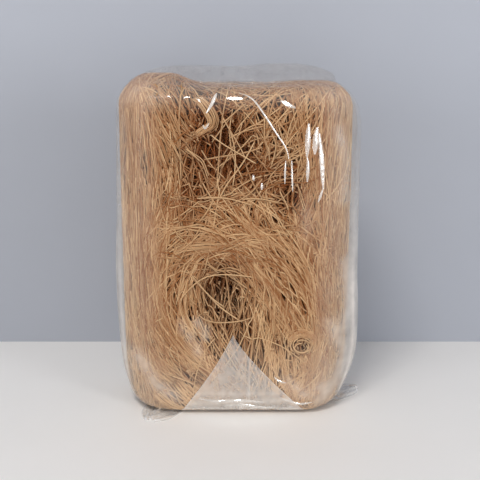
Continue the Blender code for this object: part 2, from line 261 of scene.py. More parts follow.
@dataclass(frozen=True)
class PackForm:
    """The rounded, dented block that noodles and film both follow."""

    width: float = 0.156
    depth: float = 0.070
    height: float = 0.224
    corner_radius: float = 0.027
    top_edge_radius: float = 0.013
    base_edge_radius: float = 0.010
    base_taper: float = 0.008
    base_taper_height: float = 0.034
    fade_from: float = 0.014
    fade_to: float = 0.040
    probe: float = 0.0002

    def distance(self, points: np.ndarray) -> np.ndarray:
        """Signed distance from the form's surface.

        Args:
            points: Points with x, y and z in the last axis.

        Returns:
            The distance at each point, negative inside.
        """
        x, y, z = points[..., 0], points[..., 1], points[..., 2]
        low = np.maximum(0.0, 1 - z / self.base_taper_height)
        half_width = self.width / 2 - self.base_taper * low * low
        across = np.abs(x) - (half_width - self.corner_radius)
        through = np.abs(y) - (self.depth / 2 - self.corner_radius)
        outside = np.hypot(np.maximum(across, 0.0), np.maximum(through, 0.0))
        plan = outside + np.minimum(np.maximum(across, through), 0.0) - self.corner_radius
        middle = self.height / 2
        edge = np.where(z > middle, self.top_edge_radius, self.base_edge_radius)
        side = plan + edge
        end = np.abs(z - middle) - (middle - edge)
        corner = np.hypot(np.maximum(side, 0.0), np.maximum(end, 0.0))
        rounded = corner + np.minimum(np.maximum(side, end), 0.0) - edge
        fade = smooth_step(self.fade_from, self.fade_to, z)
        fade = fade * smooth_step(self.fade_from, self.fade_to, self.height - z)
        return rounded - summed(RELIEF, points, self.depth) * fade

    def outward(self, points: np.ndarray) -> np.ndarray:
        """The unit direction out of the form at each point."""
        slopes = []
        for axis in range(3):
            step = np.zeros(3)
            step[axis] = self.probe
            slopes.append(self.distance(points + step) - self.distance(points - step))
        return unit(np.stack(slopes, -1))

    def settled(self, points: np.ndarray, height: np.ndarray | float, rounds: int = 2) -> np.ndarray:
        """Points moved in or out until they lie at a height over the form.

        Args:
            points: Points with x, y and z in the last axis.
            height: Height over the form, negative inside it.
            rounds: How many times the move is repeated.

        Returns:
            The moved points.
        """
        for _ in range(rounds):
            gap = self.distance(points) - height
            points = points - self.outward(points) * gap[..., None]
        return points

    def on_front(self, x_mm: np.ndarray, z_mm: np.ndarray, height: np.ndarray | float = 0.0) -> np.ndarray:
        """Points over the front face, from millimetres across and up."""
        x = np.asarray(x_mm, float) * MM
        start = np.stack([x, np.full_like(x, -self.depth / 2), np.asarray(z_mm, float) * MM], -1)
        return self.settled(start, height, 5)

    def hollow(self, points: np.ndarray) -> np.ndarray:
        """How far the loose contents lie below the form at each point."""
        low_right = ((points[..., 0] - 0.078) / 0.012) ** 2 + ((points[..., 2] - 0.020) / 0.040) ** 2
        return summed(HOLLOWS, points, self.depth) + 0.0045 * np.exp(-low_right)

    def hump(self, points: np.ndarray) -> np.ndarray:
        """How far noodles and film rise over the form at the left of the top."""
        x, y, z = points[..., 0], points[..., 1], points[..., 2]
        left = 0.0080 * smooth_step(-0.020, -0.044, x) * (1 - 0.80 * smooth_step(-0.060, -0.076, x))
        right = 0.0024 * smooth_step(0.020, 0.044, x) * (1 - smooth_step(0.060, 0.076, x))
        return (left + right) * np.exp(-((y / 0.020) ** 2)) * smooth_step(0.205, 0.222, z)

    def parted(self, routes: np.ndarray, depth_limit: float = 0.0065) -> np.ndarray:
        """Noodle routes on the front pushed apart round the partings.

        Args:
            routes: Points with x, y and z in the last axis.
            depth_limit: Noodles deeper than this stay, and show in the partings.

        Returns:
            The moved points.
        """
        moved = routes.copy()
        depth = -self.distance(routes)
        shallow = smooth_step(depth_limit, depth_limit - 0.002, depth) * (routes[..., 1] < -0.012)
        for x, z, half_width, half_height, lean in PARTINGS:
            turn = math.radians(lean)
            gap_x, gap_z = moved[..., 0] / MM - x, moved[..., 2] / MM - z
            across = (gap_x * math.cos(turn) + gap_z * math.sin(turn)) / half_width
            along = (gap_z * math.cos(turn) - gap_x * math.sin(turn)) / half_height
            reach = np.maximum(np.hypot(across, along), 0.02)
            wanted = (reach**2.2 + 1) ** (1 / 2.2)
            push = (wanted - reach) * np.exp(-((reach / 2.2) ** 2)) * shallow / reach * MM
            across, along = across * push * half_width, along * push * half_height
            moved[..., 0] += across * math.cos(turn) - along * math.sin(turn)
            moved[..., 2] += across * math.sin(turn) + along * math.cos(turn)
        return moved

    def slack(self, points: np.ndarray) -> np.ndarray:
        """How far the film stands off the form at each point, where it bridges or hangs loose."""
        x, z = points[..., 0], points[..., 2]
        upright = smooth_step(0.004, 0.050, z) * smooth_step(self.height, self.height - 0.022, z)
        right = smooth_step(0.056, 0.079, x) * (0.0055 + 0.0015 * np.exp(-(((z - 0.055) / 0.04) ** 2)))
        left = smooth_step(-0.060, -0.079, x) * (0.0018 + 0.0028 * np.exp(-(((z - 0.090) / 0.055) ** 2)))
        return 0.0006 + (right + left) * upright


# Lie of the noodles on the front: millimetres across and up, lean in degrees (positive runs down to the
# right), how far single noodles stray from it in degrees, and the reach of the mark in millimetres.
FRONT_LIE = (
    (-67, 211, 8, 4, 14),
    (-49, 211, 16, 5, 12),
    (-35, 208, 22, 10, 12),
    (-25, 218, 12, 14, 10),
    (-70, 148, 0, 3, 18),
    (-58, 148, 2, 3, 14),
    (-49, 169, 6, 4, 14),
    (-40, 176, 14, 14, 10),
    (-54, 110, 0, 5, 12),
    (-74, 78, 0, 3, 16),
    (-60, 78, 6, 6, 14),
    (-53, 57, 22, 6, 14),
    (-61, 40, 10, 5, 12),
    (-39, 47, 42, 7, 14),
    (-49, 26, 38, 7, 12),
    (-32, 12, 62, 10, 12),
    (-22, 33, 38, 18, 12),
    (-40, 145, -38, 30, 12),
    (-26, 138, -45, 40, 14),
    (-32, 117, -55, 48, 12),
    (-15, 218, 10, 40, 12),
    (-10, 197, 30, 65, 16),
    (-8, 173, 10, 70, 16),
    (10, 204, -30, 55, 16),
    (27, 197, -28, 40, 16),
    (20, 173, -20, 60, 16),
    (3, 148, 60, 55, 16),
    (44, 211, -16, 16, 12),
    (62, 211, -10, 10, 12),
    (74, 204, -3, 6, 12),
    (48, 176, -16, 18, 12),
    (65, 169, -8, 9, 14),
    (76, 148, 0, 4, 18),
    (51, 148, -4, 18, 12),
    (65, 127, 0, 14, 14),
    (69, 92, 2, 9, 16),
    (76, 78, 0, 5, 18),
    (65, 57, 2, 16, 14),
    (69, 33, -12, 14, 12),
    (51, 19, -15, 30, 12),
    (-22, 110, -68, 26, 10),
    (-1, 118, 88, 26, 12),
    (18, 117, 66, 24, 12),
    (27, 138, 48, 26, 12),
    (34, 106, 42, 6, 14),
    (48, 89, 32, 6, 12),
    (24, 96, 38, 7, 12),
    (38, 71, 22, 10, 12),
    (48, 57, 12, 14, 10),
    (18, 64, 4, 9, 12),
    (31, 43, -4, 9, 12),
    (24, 19, 0, 10, 12),
    (13, 78, 10, 22, 10),
    (-35, 96, -30, 34, 10),
    (-28, 78, -10, 26, 10),
    (-10, 85, 5, 18, 12),
    (-10, 64, 4, 20, 12),
    (3, 43, 5, 14, 12),
    (-8, 19, 15, 20, 14),
)

# The same for the back, with x still measured towards the pack's own +X.
BACK_LIE = (
    (-68, 200, -6, 8, 18),
    (-66, 120, 0, 7, 30),
    (-66, 40, 8, 9, 20),
    (-46, 170, 12, 16, 14),
    (-40, 100, -8, 18, 16),
    (-42, 40, 30, 14, 16),
    (-12, 205, 20, 40, 16),
    (2, 165, 30, 60, 20),
    (8, 130, -50, 50, 18),
    (-16, 88, 80, 22, 14),
    (10, 84, 60, 22, 14),
    (-18, 50, 10, 35, 14),
    (16, 44, -25, 20, 16),
    (0, 18, 10, 30, 16),
    (36, 190, -18, 25, 16),
    (40, 140, -10, 18, 16),
    (44, 90, 6, 14, 18),
    (46, 34, -20, 14, 18),
    (68, 190, -3, 7, 18),
    (70, 120, 0, 6, 30),
    (68, 40, -6, 8, 20),
)


class NoodleLie:
    """The direction that noodles follow at any place on the pack, and how far single ones stray."""

    def __init__(self, form: PackForm) -> None:
        """Keeps the marks of both faces as arrays."""
        self.form = form
        self.marks = {-1: np.array(FRONT_LIE, float), 1: np.array(BACK_LIE, float)}

    def on_face(self, points: np.ndarray, side: int) -> tuple[np.ndarray, np.ndarray]:
        """Lean and stray on the front or back.

        Args:
            points: Points near that face.
            side: -1 for the front, 1 for the back.

        Returns:
            The lean and the stray at each point, both in radians.
        """
        marks = self.marks[side]
        gap_x = points[:, None, 0] / MM - marks[None, :, 0]
        gap_z = points[:, None, 2] / MM - marks[None, :, 1]
        weight = np.exp(-(gap_x**2 + gap_z**2) / marks[None, :, 4] ** 2) + 1e-9
        weight /= weight.sum(1, keepdims=True)
        double = np.radians(marks[None, :, 2]) * 2
        lean = np.arctan2((weight * np.sin(double)).sum(1), (weight * np.cos(double)).sum(1)) / 2
        return lean, np.radians((weight * marks[None, :, 3]).sum(1))

    def at(self, points: np.ndarray, outward: np.ndarray, heading: np.ndarray) -> tuple[np.ndarray, np.ndarray]:
        """The lie at each point, turned to the side that the noodle is heading for.

        Args:
            points: Where the noodles are.
            outward: The form's outward direction there.
            heading: Where each noodle is heading.

        Returns:
            Unit directions along the surface, and the stray in radians.
        """
        front = np.clip(-outward[:, 1], 0, 1) ** 2
        back = np.clip(outward[:, 1], 0, 1) ** 2
        side = outward[:, 0] ** 2
        flat = outward[:, 2] ** 2
        flow = np.zeros_like(points)
        stray = np.zeros(len(points))
        for weight, face in ((front, -1), (back, 1)):
            lean, spread = self.on_face(points, face)
            along = np.stack([np.sin(lean), np.zeros_like(lean), -np.cos(lean)], -1)
            flow += self.agreeing(along, heading) * weight[:, None]
            stray += spread * weight
        upright = np.tile([0.0, 0.06, 1.0], (len(points), 1))
        flow += self.agreeing(upright, heading) * side[:, None]
        stray += math.radians(8) * side
        over = np.stack([0.35 * np.sin(points[:, 0] * 60), np.ones(len(points)), np.zeros(len(points))], -1)
        flow += self.agreeing(over, heading) * flat[:, None]
        stray += math.radians(30) * flat
        flow -= outward * (flow * outward).sum(1, keepdims=True)
        return unit(flow), stray

    @staticmethod
    def agreeing(direction: np.ndarray, heading: np.ndarray) -> np.ndarray:
        """The direction or its opposite, whichever is nearer to the heading."""
        agree = np.where((direction * heading).sum(1, keepdims=True) < 0, -1.0, 1.0)
        return direction * agree


@dataclass(frozen=True)
class NoodleFamily:
    """Noodles that start on one patch of the pack in locks of near neighbours."""

    face: Face
    across_mm: tuple[float, float]
    up_mm: tuple[float, float]
    locks: int
    members: int
    rings: int
    stride_mm: tuple[float, float]
    depth_mm: tuple[float, float]
    sag: tuple[float, float] = (0.5, 1.1)
    lock_mm: float = 3.5
    wander: float = 6.0
    follow: float = 0.35
    weave_mm: float = 0.7
    scatter: float = 1.0
    loose: float = 0.0
    gap_mm: float = 0.0
    # pale lifts the tint of noodles that lie on top, as painted light.
    pale: float = 0.0
    sides: int = 4
    radius_mm: tuple[float, float] = (0.48, 0.62)


@dataclass
class Strands:
    """Noodle centre lines that all have the same number of points, and their look."""

    routes: np.ndarray
    radius: np.ndarray
    tint: np.ndarray
    sides: int = 4


class NoodleGrower:
    """Grows noodles over the pack form, step by step along the lie."""

    def __init__(self, form: PackForm, lie: NoodleLie, seed: int) -> None:
        """Keeps the form and lie, and the seeded source of chance."""
        self.form = form
        self.lie = lie
        self.draw = np.random.default_rng(seed)

    def starts(self, family: NoodleFamily) -> np.ndarray:
        """One start point for each lock, spread evenly over the family's patch.

        Args:
            family: The family to start.

        Returns:
            Points near the surface.
        """
        count = family.locks
        shares = (np.arange(count) + 0.5) / count
        golden = (np.arange(count) * 0.618034 + self.draw.uniform()) % 1.0
        across = family.across_mm[0] + (family.across_mm[1] - family.across_mm[0]) * golden
        up = family.up_mm[0] + (family.up_mm[1] - family.up_mm[0]) * shares
        across, up = across * MM, up * MM
        half_width, half_depth = self.form.width / 2, self.form.depth / 2
        if family.face in (Face.FRONT, Face.BACK):
            y = -half_depth if family.face is Face.FRONT else half_depth
            return np.stack([across, np.full(count, y), up], -1)
        if family.face in (Face.LEFT, Face.RIGHT):
            x = -half_width if family.face is Face.LEFT else half_width
            return np.stack([np.full(count, x), across, up], -1)
        z = self.form.height if family.face is Face.TOP else 0.0
        return np.stack([across, up, np.full(count, z)], -1)

    def grow(self, family: NoodleFamily) -> Strands:
        """Grows one family.

        Args:
            family: The family to grow.

        Returns:
            Its noodles.
        """
        draw, form = self.draw, self.form
        locks, members = family.locks, family.members
        count = locks * members

        def shared(low: float, high: float, jitter: float) -> np.ndarray:
            """One value for each lock, with a little change for each member."""
            common = np.repeat(draw.uniform(low, high, locks), members)
            return common + draw.normal(0, jitter * family.scatter * (high - low), count)

        place = np.repeat(self.starts(family), members, 0)
        place = place + draw.normal(0, family.lock_mm * family.scatter * MM, (count, 3))
        depth = np.clip(shared(*family.depth_mm, 0.3), *family.depth_mm) * MM
        sag = shared(*family.sag, 0.15)
        stride = shared(*family.stride_mm, 0.3) * MM
        place = form.settled(place, -depth, 3)
        outward = form.outward(place)
        heading = np.repeat(np.where(draw.uniform(size=locks) < 0.5, -1.0, 1.0), members)[:, None] * [0.1, 0.2, 1.0]
        heading, stray = self.lie.at(place, outward, heading)
        deviation = shared(-1, 1, 0.15) * 1.7
        heading = turned(heading, outward, deviation * stray + shared(-1, 1, 0.1) * math.radians(family.loose))
        rank = np.tile(np.arange(members) - (members - 1) / 2, locks) * family.gap_mm * MM
        place = form.settled(place + np.cross(outward, heading) * rank[:, None], -depth, 2)
        waves = [(shared(0, math.tau, 0.05), shared(*span, 0.1) * MM) for span in ((45, 110), (14, 30))]
        weave_phase, weave_length = shared(0, math.tau, 0.3), shared(18, 60, 0.3) * MM
        travelled = np.zeros(count)
        routes = [place]
        for _ in range(family.rings - 1):
            outward = form.outward(place)
            heading = unit(heading - outward * (heading * outward).sum(1, keepdims=True))
            flow, stray = self.lie.at(place, outward, heading)
            target = turned(flow, outward, deviation * stray)
            side = (np.cross(heading, target) * outward).sum(1)
            angle = np.arctan2(side, (heading * target).sum(1))
            curl = sum(
                share * np.sin(math.tau * travelled / length + phase)
                for share, (phase, length) in zip((1.0, 0.7), waves)
            )
            loose = 0.4 + stray / math.radians(25)
            bend = np.clip(angle * family.follow, -0.30, 0.30) + family.wander * loose * curl * stride
            heading = turned(heading, outward, bend)
            travelled = travelled + stride
            ahead = place + heading * stride[:, None]
            weave = family.weave_mm * MM * np.sin(math.tau * travelled / weave_length + weave_phase)
            wanted = np.maximum(depth + weave + sag * form.hollow(ahead), 0.0006) - form.hump(ahead)
            step = form.settled(ahead, -wanted)
            heading = unit(step - place)
            place = step
            routes.append(place)
        # The family's pale lift is painted light on noodles that lie on top.
        tint = 0.42 + family.pale + np.repeat(draw.normal(0, 0.11, locks), members) + draw.normal(0, 0.27, count)
        radius = draw.uniform(*family.radius_mm, count) * MM
        return Strands(form.parted(np.stack(routes, 1)), radius, np.clip(tint, 0.14, 1), family.sides)


def smooth_route(marks: np.ndarray, count: int) -> np.ndarray:
    """Evenly spread points on a smooth curve through the marks.

    Args:
        marks: At least two marks, one a row.
        count: How many points to make.

    Returns:
        The points.
    """
    knots = np.concatenate([[2 * marks[0] - marks[1]], marks, [2 * marks[-1] - marks[-2]]])
    fine = []
    for index in range(1, len(knots) - 2):
        before, start, finish, after = knots[index - 1 : index + 3]
        t = np.linspace(0, 1, 12, endpoint=index == len(knots) - 3)[:, None]
        cubic = (start * 3 - before - finish * 3 + after) * t**3
        square = (before * 2 - start * 5 + finish * 4 - after) * t**2
        fine.append((start * 2 + (finish - before) * t + square + cubic) / 2)
    dense = np.concatenate(fine)
    lengths = np.concatenate([[0], np.cumsum(np.linalg.norm(np.diff(dense, axis=0), axis=1))])
    wanted = np.linspace(0, lengths[-1], count)
    return np.stack([np.interp(wanted, lengths, dense[:, axis]) for axis in range(dense.shape[1])], -1)


# Single noodles that lie just under the film on the front, as millimetres across and up, each with its
# depth under the film in millimetres.
LOOSE_NOODLES = (
    (0.8, ((-65.3, 127.1), (-55.6, 120.3), (-47.1, 113.9), (-35.9, 113.6))),
    (0.9, ((-43.9, 113.9), (-38.4, 117.2), (-33.1, 121.1), (-28.3, 125.1), (-23.6, 129.8))),
    (0.8, ((-53.3, 140.6), (-44.0, 134.1), (-34.6, 126.8))),
    (1.0, ((-21.4, 163.2), (-19.1, 158.8), (-12.4, 148.2), (-2.5, 137.9), (4.8, 128.9))),
    (1.2, ((-10.3, 159.9), (-13.0, 144.9), (-15.1, 131.4), (-17.3, 119.4), (-21.2, 101.8))),
    (1.1, ((-27.8, 122.4), (-13.8, 122.6), (2.8, 122.4), (17.4, 120.7))),
    (0.8, ((-34.4, 106.7), (-25.4, 95.1), (-16.5, 84.4), (-8.0, 77.1))),
    (0.9, ((-39.6, 79.9), (-34.0, 87.8), (-24.5, 96.4), (-14.8, 99.9), (2.8, 100.1), (14.5, 99.0))),
    (0.8, ((-59.3, 65.9), (-48.7, 71.4), (-43.1, 75.8))),
    (0.7, ((-24.5, 71.8), (-20.0, 68.6), (-11.3, 66.6), (2.5, 67.9), (10.2, 70.4))),
    (1.2, ((-34.3, 75.2), (-30.0, 66.4), (-23.4, 58.3), (-16.9, 50.1))),
    (0.8, ((-58.3, 35.2), (-49.4, 31.0), (-33.3, 24.5), (-28.3, 21.5))),
    (0.8, ((21.0, 128.7), (25.4, 133.0), (32.7, 134.7), (39.1, 135.5))),
    (0.8, ((28.9, 157.8), (33.6, 148.7), (34.7, 145.1))),
    (0.9, ((49.8, 125.5), (58.1, 129.8), (68.0, 135.2))),
    (0.9, ((50.5, 115.6), (57.3, 117.8), (66.8, 119.4))),
    (1.0, ((2.8, 152.4), (10.7, 152.9), (18.5, 152.4), (28.4, 150.3))),
    (1.3, ((6.7, 152.2), (11.3, 150.2), (15.9, 147.1), (23.8, 142.2), (29.6, 137.4))),
    (1.0, ((5.4, 123.3), (9.2, 126.6), (14.4, 128.5))),
    (0.8, ((25.4, 201.9), (30.0, 207.4), (37.0, 211.0))),
    (1.2, ((0.2, 193.2), (6.3, 198.3), (12.8, 201.6), (20.4, 201.9))),
    (1.0, ((35.5, 203.8), (35.7, 195.4), (35.2, 186.9))),
    (1.0, ((-8.1, 205.9), (-2.6, 195.7), (2.5, 186.5), (6.0, 179.0))),
    (0.8, ((-9.4, 202.5), (-6.5, 204.4), (2.0, 211.9), (6.6, 216.0))),
    (1.0, ((-32.0, 186.0), (-27.7, 183.0), (-21.9, 178.9), (-19.4, 174.2), (-17.4, 168.0))),
    (1.9, ((-33.2, 184.8), (-28.6, 181.8), (-22.8, 177.7), (-20.2, 173.2), (-18.0, 166.0))),
    (0.8, ((42.4, 80.4), (47.4, 75.8), (54.6, 72.8))),
    (0.8, ((19.0, 48.3), (26.2, 48.0))),
    (0.9, ((53.4, 48.3), (62.7, 55.9), (67.6, 60.6))),
    (0.9, ((31.8, 40.0), (38.5, 39.7))),
    (0.9, ((63.2, 31.0), (61.8, 19.1), (60.9, 9.6))),
    (0.9, ((53.5, 45.9), (60.8, 38.8))),
    (1.6, ((-42.9, 83.8), (-40.0, 97.8), (-33.1, 109.6), (-22.4, 118.6), (6.1, 124.1), (20.0, 119.3))),
    (2.0, ((-28.4, 121.4), (-19.7, 126.1), (-9.1, 128.2), (2.8, 128.2), (13.4, 125.5))),
    (1.8, ((-36.0, 90.0), (-28.0, 105.0), (-12.0, 114.6), (6.0, 116.0), (22.0, 110.0), (33.0, 98.0))),
    (1.4, ((-8.0, 206.2), (-9.8, 194.0), (-10.8, 181.0), (-11.6, 166.1))),
    (1.0, ((-15.6, 194.0), (-7.2, 187.5), (4.1, 181.0), (13.0, 176.0))),
    (1.6, ((5.7, 215.8), (-0.7, 209.4), (-8.8, 198.9), (-15.3, 189.1))),
    (1.2, ((-2.1, 161.1), (-0.8, 172.7), (-1.1, 185.9), (-4.3, 200.2))),
    (1.8, ((17.0, 186.7), (7.3, 183.4), (-4.0, 181.0), (-19.9, 178.3))),
    (0.9, ((-32.2, 185.9), (-26.7, 181.3), (-23.2, 177.7))),
    (1.5, ((4.1, 202.1), (0.9, 192.4), (-4.0, 182.6), (-9.2, 172.4))),
    (1.1, ((19.5, 201.3), (10.5, 198.9), (1.7, 195.7), (-4.0, 192.1))),
    (1.3, ((23.5, 195.7), (25.9, 189.1), (25.2, 182.3), (23.0, 174.4))),
    (1.9, ((10.5, 194.0), (4.1, 186.7), (-4.0, 179.0), (-12.2, 172.7))),
    (2.2, ((-21.8, 184.2), (-15.4, 174.4), (-7.3, 166.1))),
    (0.8, ((-25.4, 153.1), (-12.3, 153.6), (-2.4, 152.4), (10.7, 148.6))),
    (0.9, ((17.2, 166.1), (10.7, 157.8), (0.8, 151.1), (-10.7, 146.0))),
    (1.2, ((12.0, 190.0), (4.0, 176.0), (-6.0, 162.0), (-12.0, 150.0))),
    (1.7, ((-2.0, 212.0), (-4.0, 196.0), (-2.0, 180.0), (4.0, 166.0))),
    (1.3, ((-34.0, 104.0), (-22.0, 90.4), (-12.0, 78.6), (-4.0, 72.0), (4.0, 67.0))),
)


class NoodleCrowd:
    """A coarse count of where noodles lie, which tells how deeply any place is buried in them, for the painted shade on
    the noodles.
    """

    cell = 0.0016
    low = np.array([-0.090, -0.050, -0.010])
    cells = (113, 63, 158)

    def __init__(self, batches: list[Strands]) -> None:
        """Counts the noodles of every batch."""
        count = np.zeros(self.cells)
        for strands in batches:
            routes = strands.routes
            for share in (0.0, 0.2, 0.4, 0.6, 0.8):
                part = routes[:, :-1] * (1 - share) + routes[:, 1:] * share
                run = np.linalg.norm(routes[:, 1:] - routes[:, :-1], axis=-1) / 5
                cover = run * 2 * strands.radius[:, None] / self.cell**2
                np.add.at(count, self.index(part.reshape(-1, 3)), cover.reshape(-1))
        blurred = count * 2
        for axis in range(3):
            blurred = blurred + np.roll(count, 1, axis) + np.roll(count, -1, axis)
        self.count = blurred / 8

    def index(self, points: np.ndarray) -> tuple[np.ndarray, ...]:
        """The cell of each point, as one index array for each axis."""
        place = np.floor((points - self.low) / self.cell).astype(int)
        return tuple(np.clip(place[:, axis], 0, self.cells[axis] - 1) for axis in range(3))

    def buried(self, points: np.ndarray, outward: np.ndarray) -> np.ndarray:
        """How deeply points are buried, looking out and a little up towards the light, which sets the painted shade of
        the noodles.

        Args:
            points: The places.
            outward: The form's outward direction there.

        Returns:
            0 in the open to 1 far inside, for each point.
        """
        toward = unit(outward + np.array([0.0, 0.0, 0.35]))
        cover = np.zeros(len(points))
        for step in range(1, 11):
            cover += self.count[self.index(points + toward * (self.cell * (step + 0.2)))]
        return 1 - np.exp(-0.42 * cover)


class NoodlePiece:
    """One joined mesh of separate noodles."""

    def __init__(self, name: str, form: PackForm) -> None:
        """Starts an empty piece."""
        self.name = name
        self.form = form
        self.batches: list[Strands] = []

    def add(self, strands: Strands) -> "NoodlePiece":
        """Adds noodles to the piece."""
        self.batches.append(strands)
        return self

    @staticmethod
    def in_hollow(points: np.ndarray) -> np.ndarray:
        """How far into the lower hollow's middle the points are; there the painted shade is eased and painted light
        makes the noodles paler.
        """
        return np.exp(-(((points[..., 0] + 0.006) / 0.018) ** 2) - ((points[..., 2] - 0.080) / 0.020) ** 2)

    @classmethod
    def paler(cls, points: np.ndarray) -> np.ndarray:
        """How much paler the noodles are made low down and towards the sides, and, as painted light, in the lower
        hollow's middle.
        """
        low = smooth_step(0.090, 0.020, points[..., 2])
        side = smooth_step(0.048, 0.076, np.abs(points[..., 0]))
        return 0.26 * low + 0.14 * side + 0.45 * cls.in_hollow(points)

    def rings(self, strands: Strands) -> np.ndarray:
        """The points round each noodle, ring by ring.

        Args:
            strands: The noodles.

        Returns:
            An array of noodle, ring, corner and coordinate.
        """
        routes = strands.routes
        tangent = unit(np.gradient(routes, axis=1))
        outward = self.form.outward(routes)
        side = unit(np.cross(tangent, outward))
        up = np.cross(side, tangent)
        angles = math.tau * np.arange(strands.sides) / strands.sides
        ends = np.ones(routes.shape[1])
        ends[0] = ends[-1] = 0.82
        reach = strands.radius[:, None] * ends[None, :]
        around = side[:, :, None] * np.cos(angles)[:, None] + up[:, :, None] * np.sin(angles)[:, None]
        return routes[:, :, None] + around * reach[:, :, None, None]

    def build(self, material: bpy.types.Material, crowd: NoodleCrowd) -> bpy.types.Object:
        """Makes the mesh object.

        Args:
            material: The noodles' finish.
            crowd: The count of all noodles.

        Returns:
            The object, placed in the scene.
        """
        places, corners, totals, looks = [], [], [], []
        first = 0
        for strands in self.batches:
            rings = self.rings(strands)
            count, length, sides, _ = rings.shape
            places.append(rings.reshape(-1, 3))
            index = first + np.arange(count * length * sides).reshape(count, length, sides)
            near, far = index[:, :-1], index[:, 1:]
            quads = np.stack([near, far, np.roll(far, -1, 2), np.roll(near, -1, 2)], -1)
            corners += [quads.reshape(-1), index[:, 0].reshape(-1), index[:, -1, ::-1].reshape(-1)]
            totals += [np.full(count * (length - 1) * sides, 4), np.full(2 * count, sides)]
            tip = np.zeros((count, length))
            tip[:, 0] = tip[:, -1] = 1.0
            shape = (count, length, sides)
            # tint is lifted by paler(): paler low down and at the sides, and painted light in the lower hollow.
            tint = np.broadcast_to((strands.tint[:, None] + self.paler(strands.routes))[:, :, None], shape)
            middle = strands.routes.reshape(-1, 3)
            outward = self.form.outward(middle)
            # Painted shade: noodles more buried in the crowd, or further below the form, are darkened towards the
            # painted-shade colour; less so low down and in the lower hollow.
            under = crowd.buried(middle, outward) * 0.95
            low = 1 - 0.62 * smooth_step(0.105, 0.078, middle[:, 2])
            under = under + 0.78 * low * smooth_step(0.0012, 0.0085, -self.form.distance(middle))
            under = under * (1 - 0.45 * self.in_hollow(middle))
            # Painted shade on the side of each noodle that faces into the pack.
            facing = unit(rings - strands.routes[:, :, None]) * outward.reshape(count, length, 1, 3)
            painted_shade = np.clip(under.reshape(count, length, 1) + 0.14 * (1 - facing.sum(-1)), 0, 1)
            tips = np.broadcast_to(tip[:, :, None], shape)
            # The noodle attribute holds tint, painted shade and cut tips.
            looks.append(np.stack([tint, painted_shade, tips, np.ones(shape)], -1).reshape(-1, 4))
            first += count * length * sides
        mesh = bpy.data.meshes.new(self.name)
        points, loops, sizes = np.concatenate(places), np.concatenate(corners), np.concatenate(totals)
        mesh.vertices.add(len(points))
        mesh.vertices.foreach_set("co", points.astype(np.float32).reshape(-1))
        mesh.loops.add(len(loops))
        mesh.loops.foreach_set("vertex_index", loops.astype(np.int32))
        mesh.polygons.add(len(sizes))
        mesh.polygons.foreach_set("loop_start", np.concatenate([[0], np.cumsum(sizes)[:-1]]).astype(np.int32))
        mesh.update(calc_edges=True)
        mesh.validate()
        look = mesh.color_attributes.new("noodle", "FLOAT_COLOR", "POINT")
        look.data.foreach_set("color", np.concatenate(looks).astype(np.float32).reshape(-1))
        mesh.shade_smooth()
        mesh.materials.append(material)
        made = bpy.data.objects.new(self.name, mesh)
        bpy.context.collection.objects.link(made)
        return made


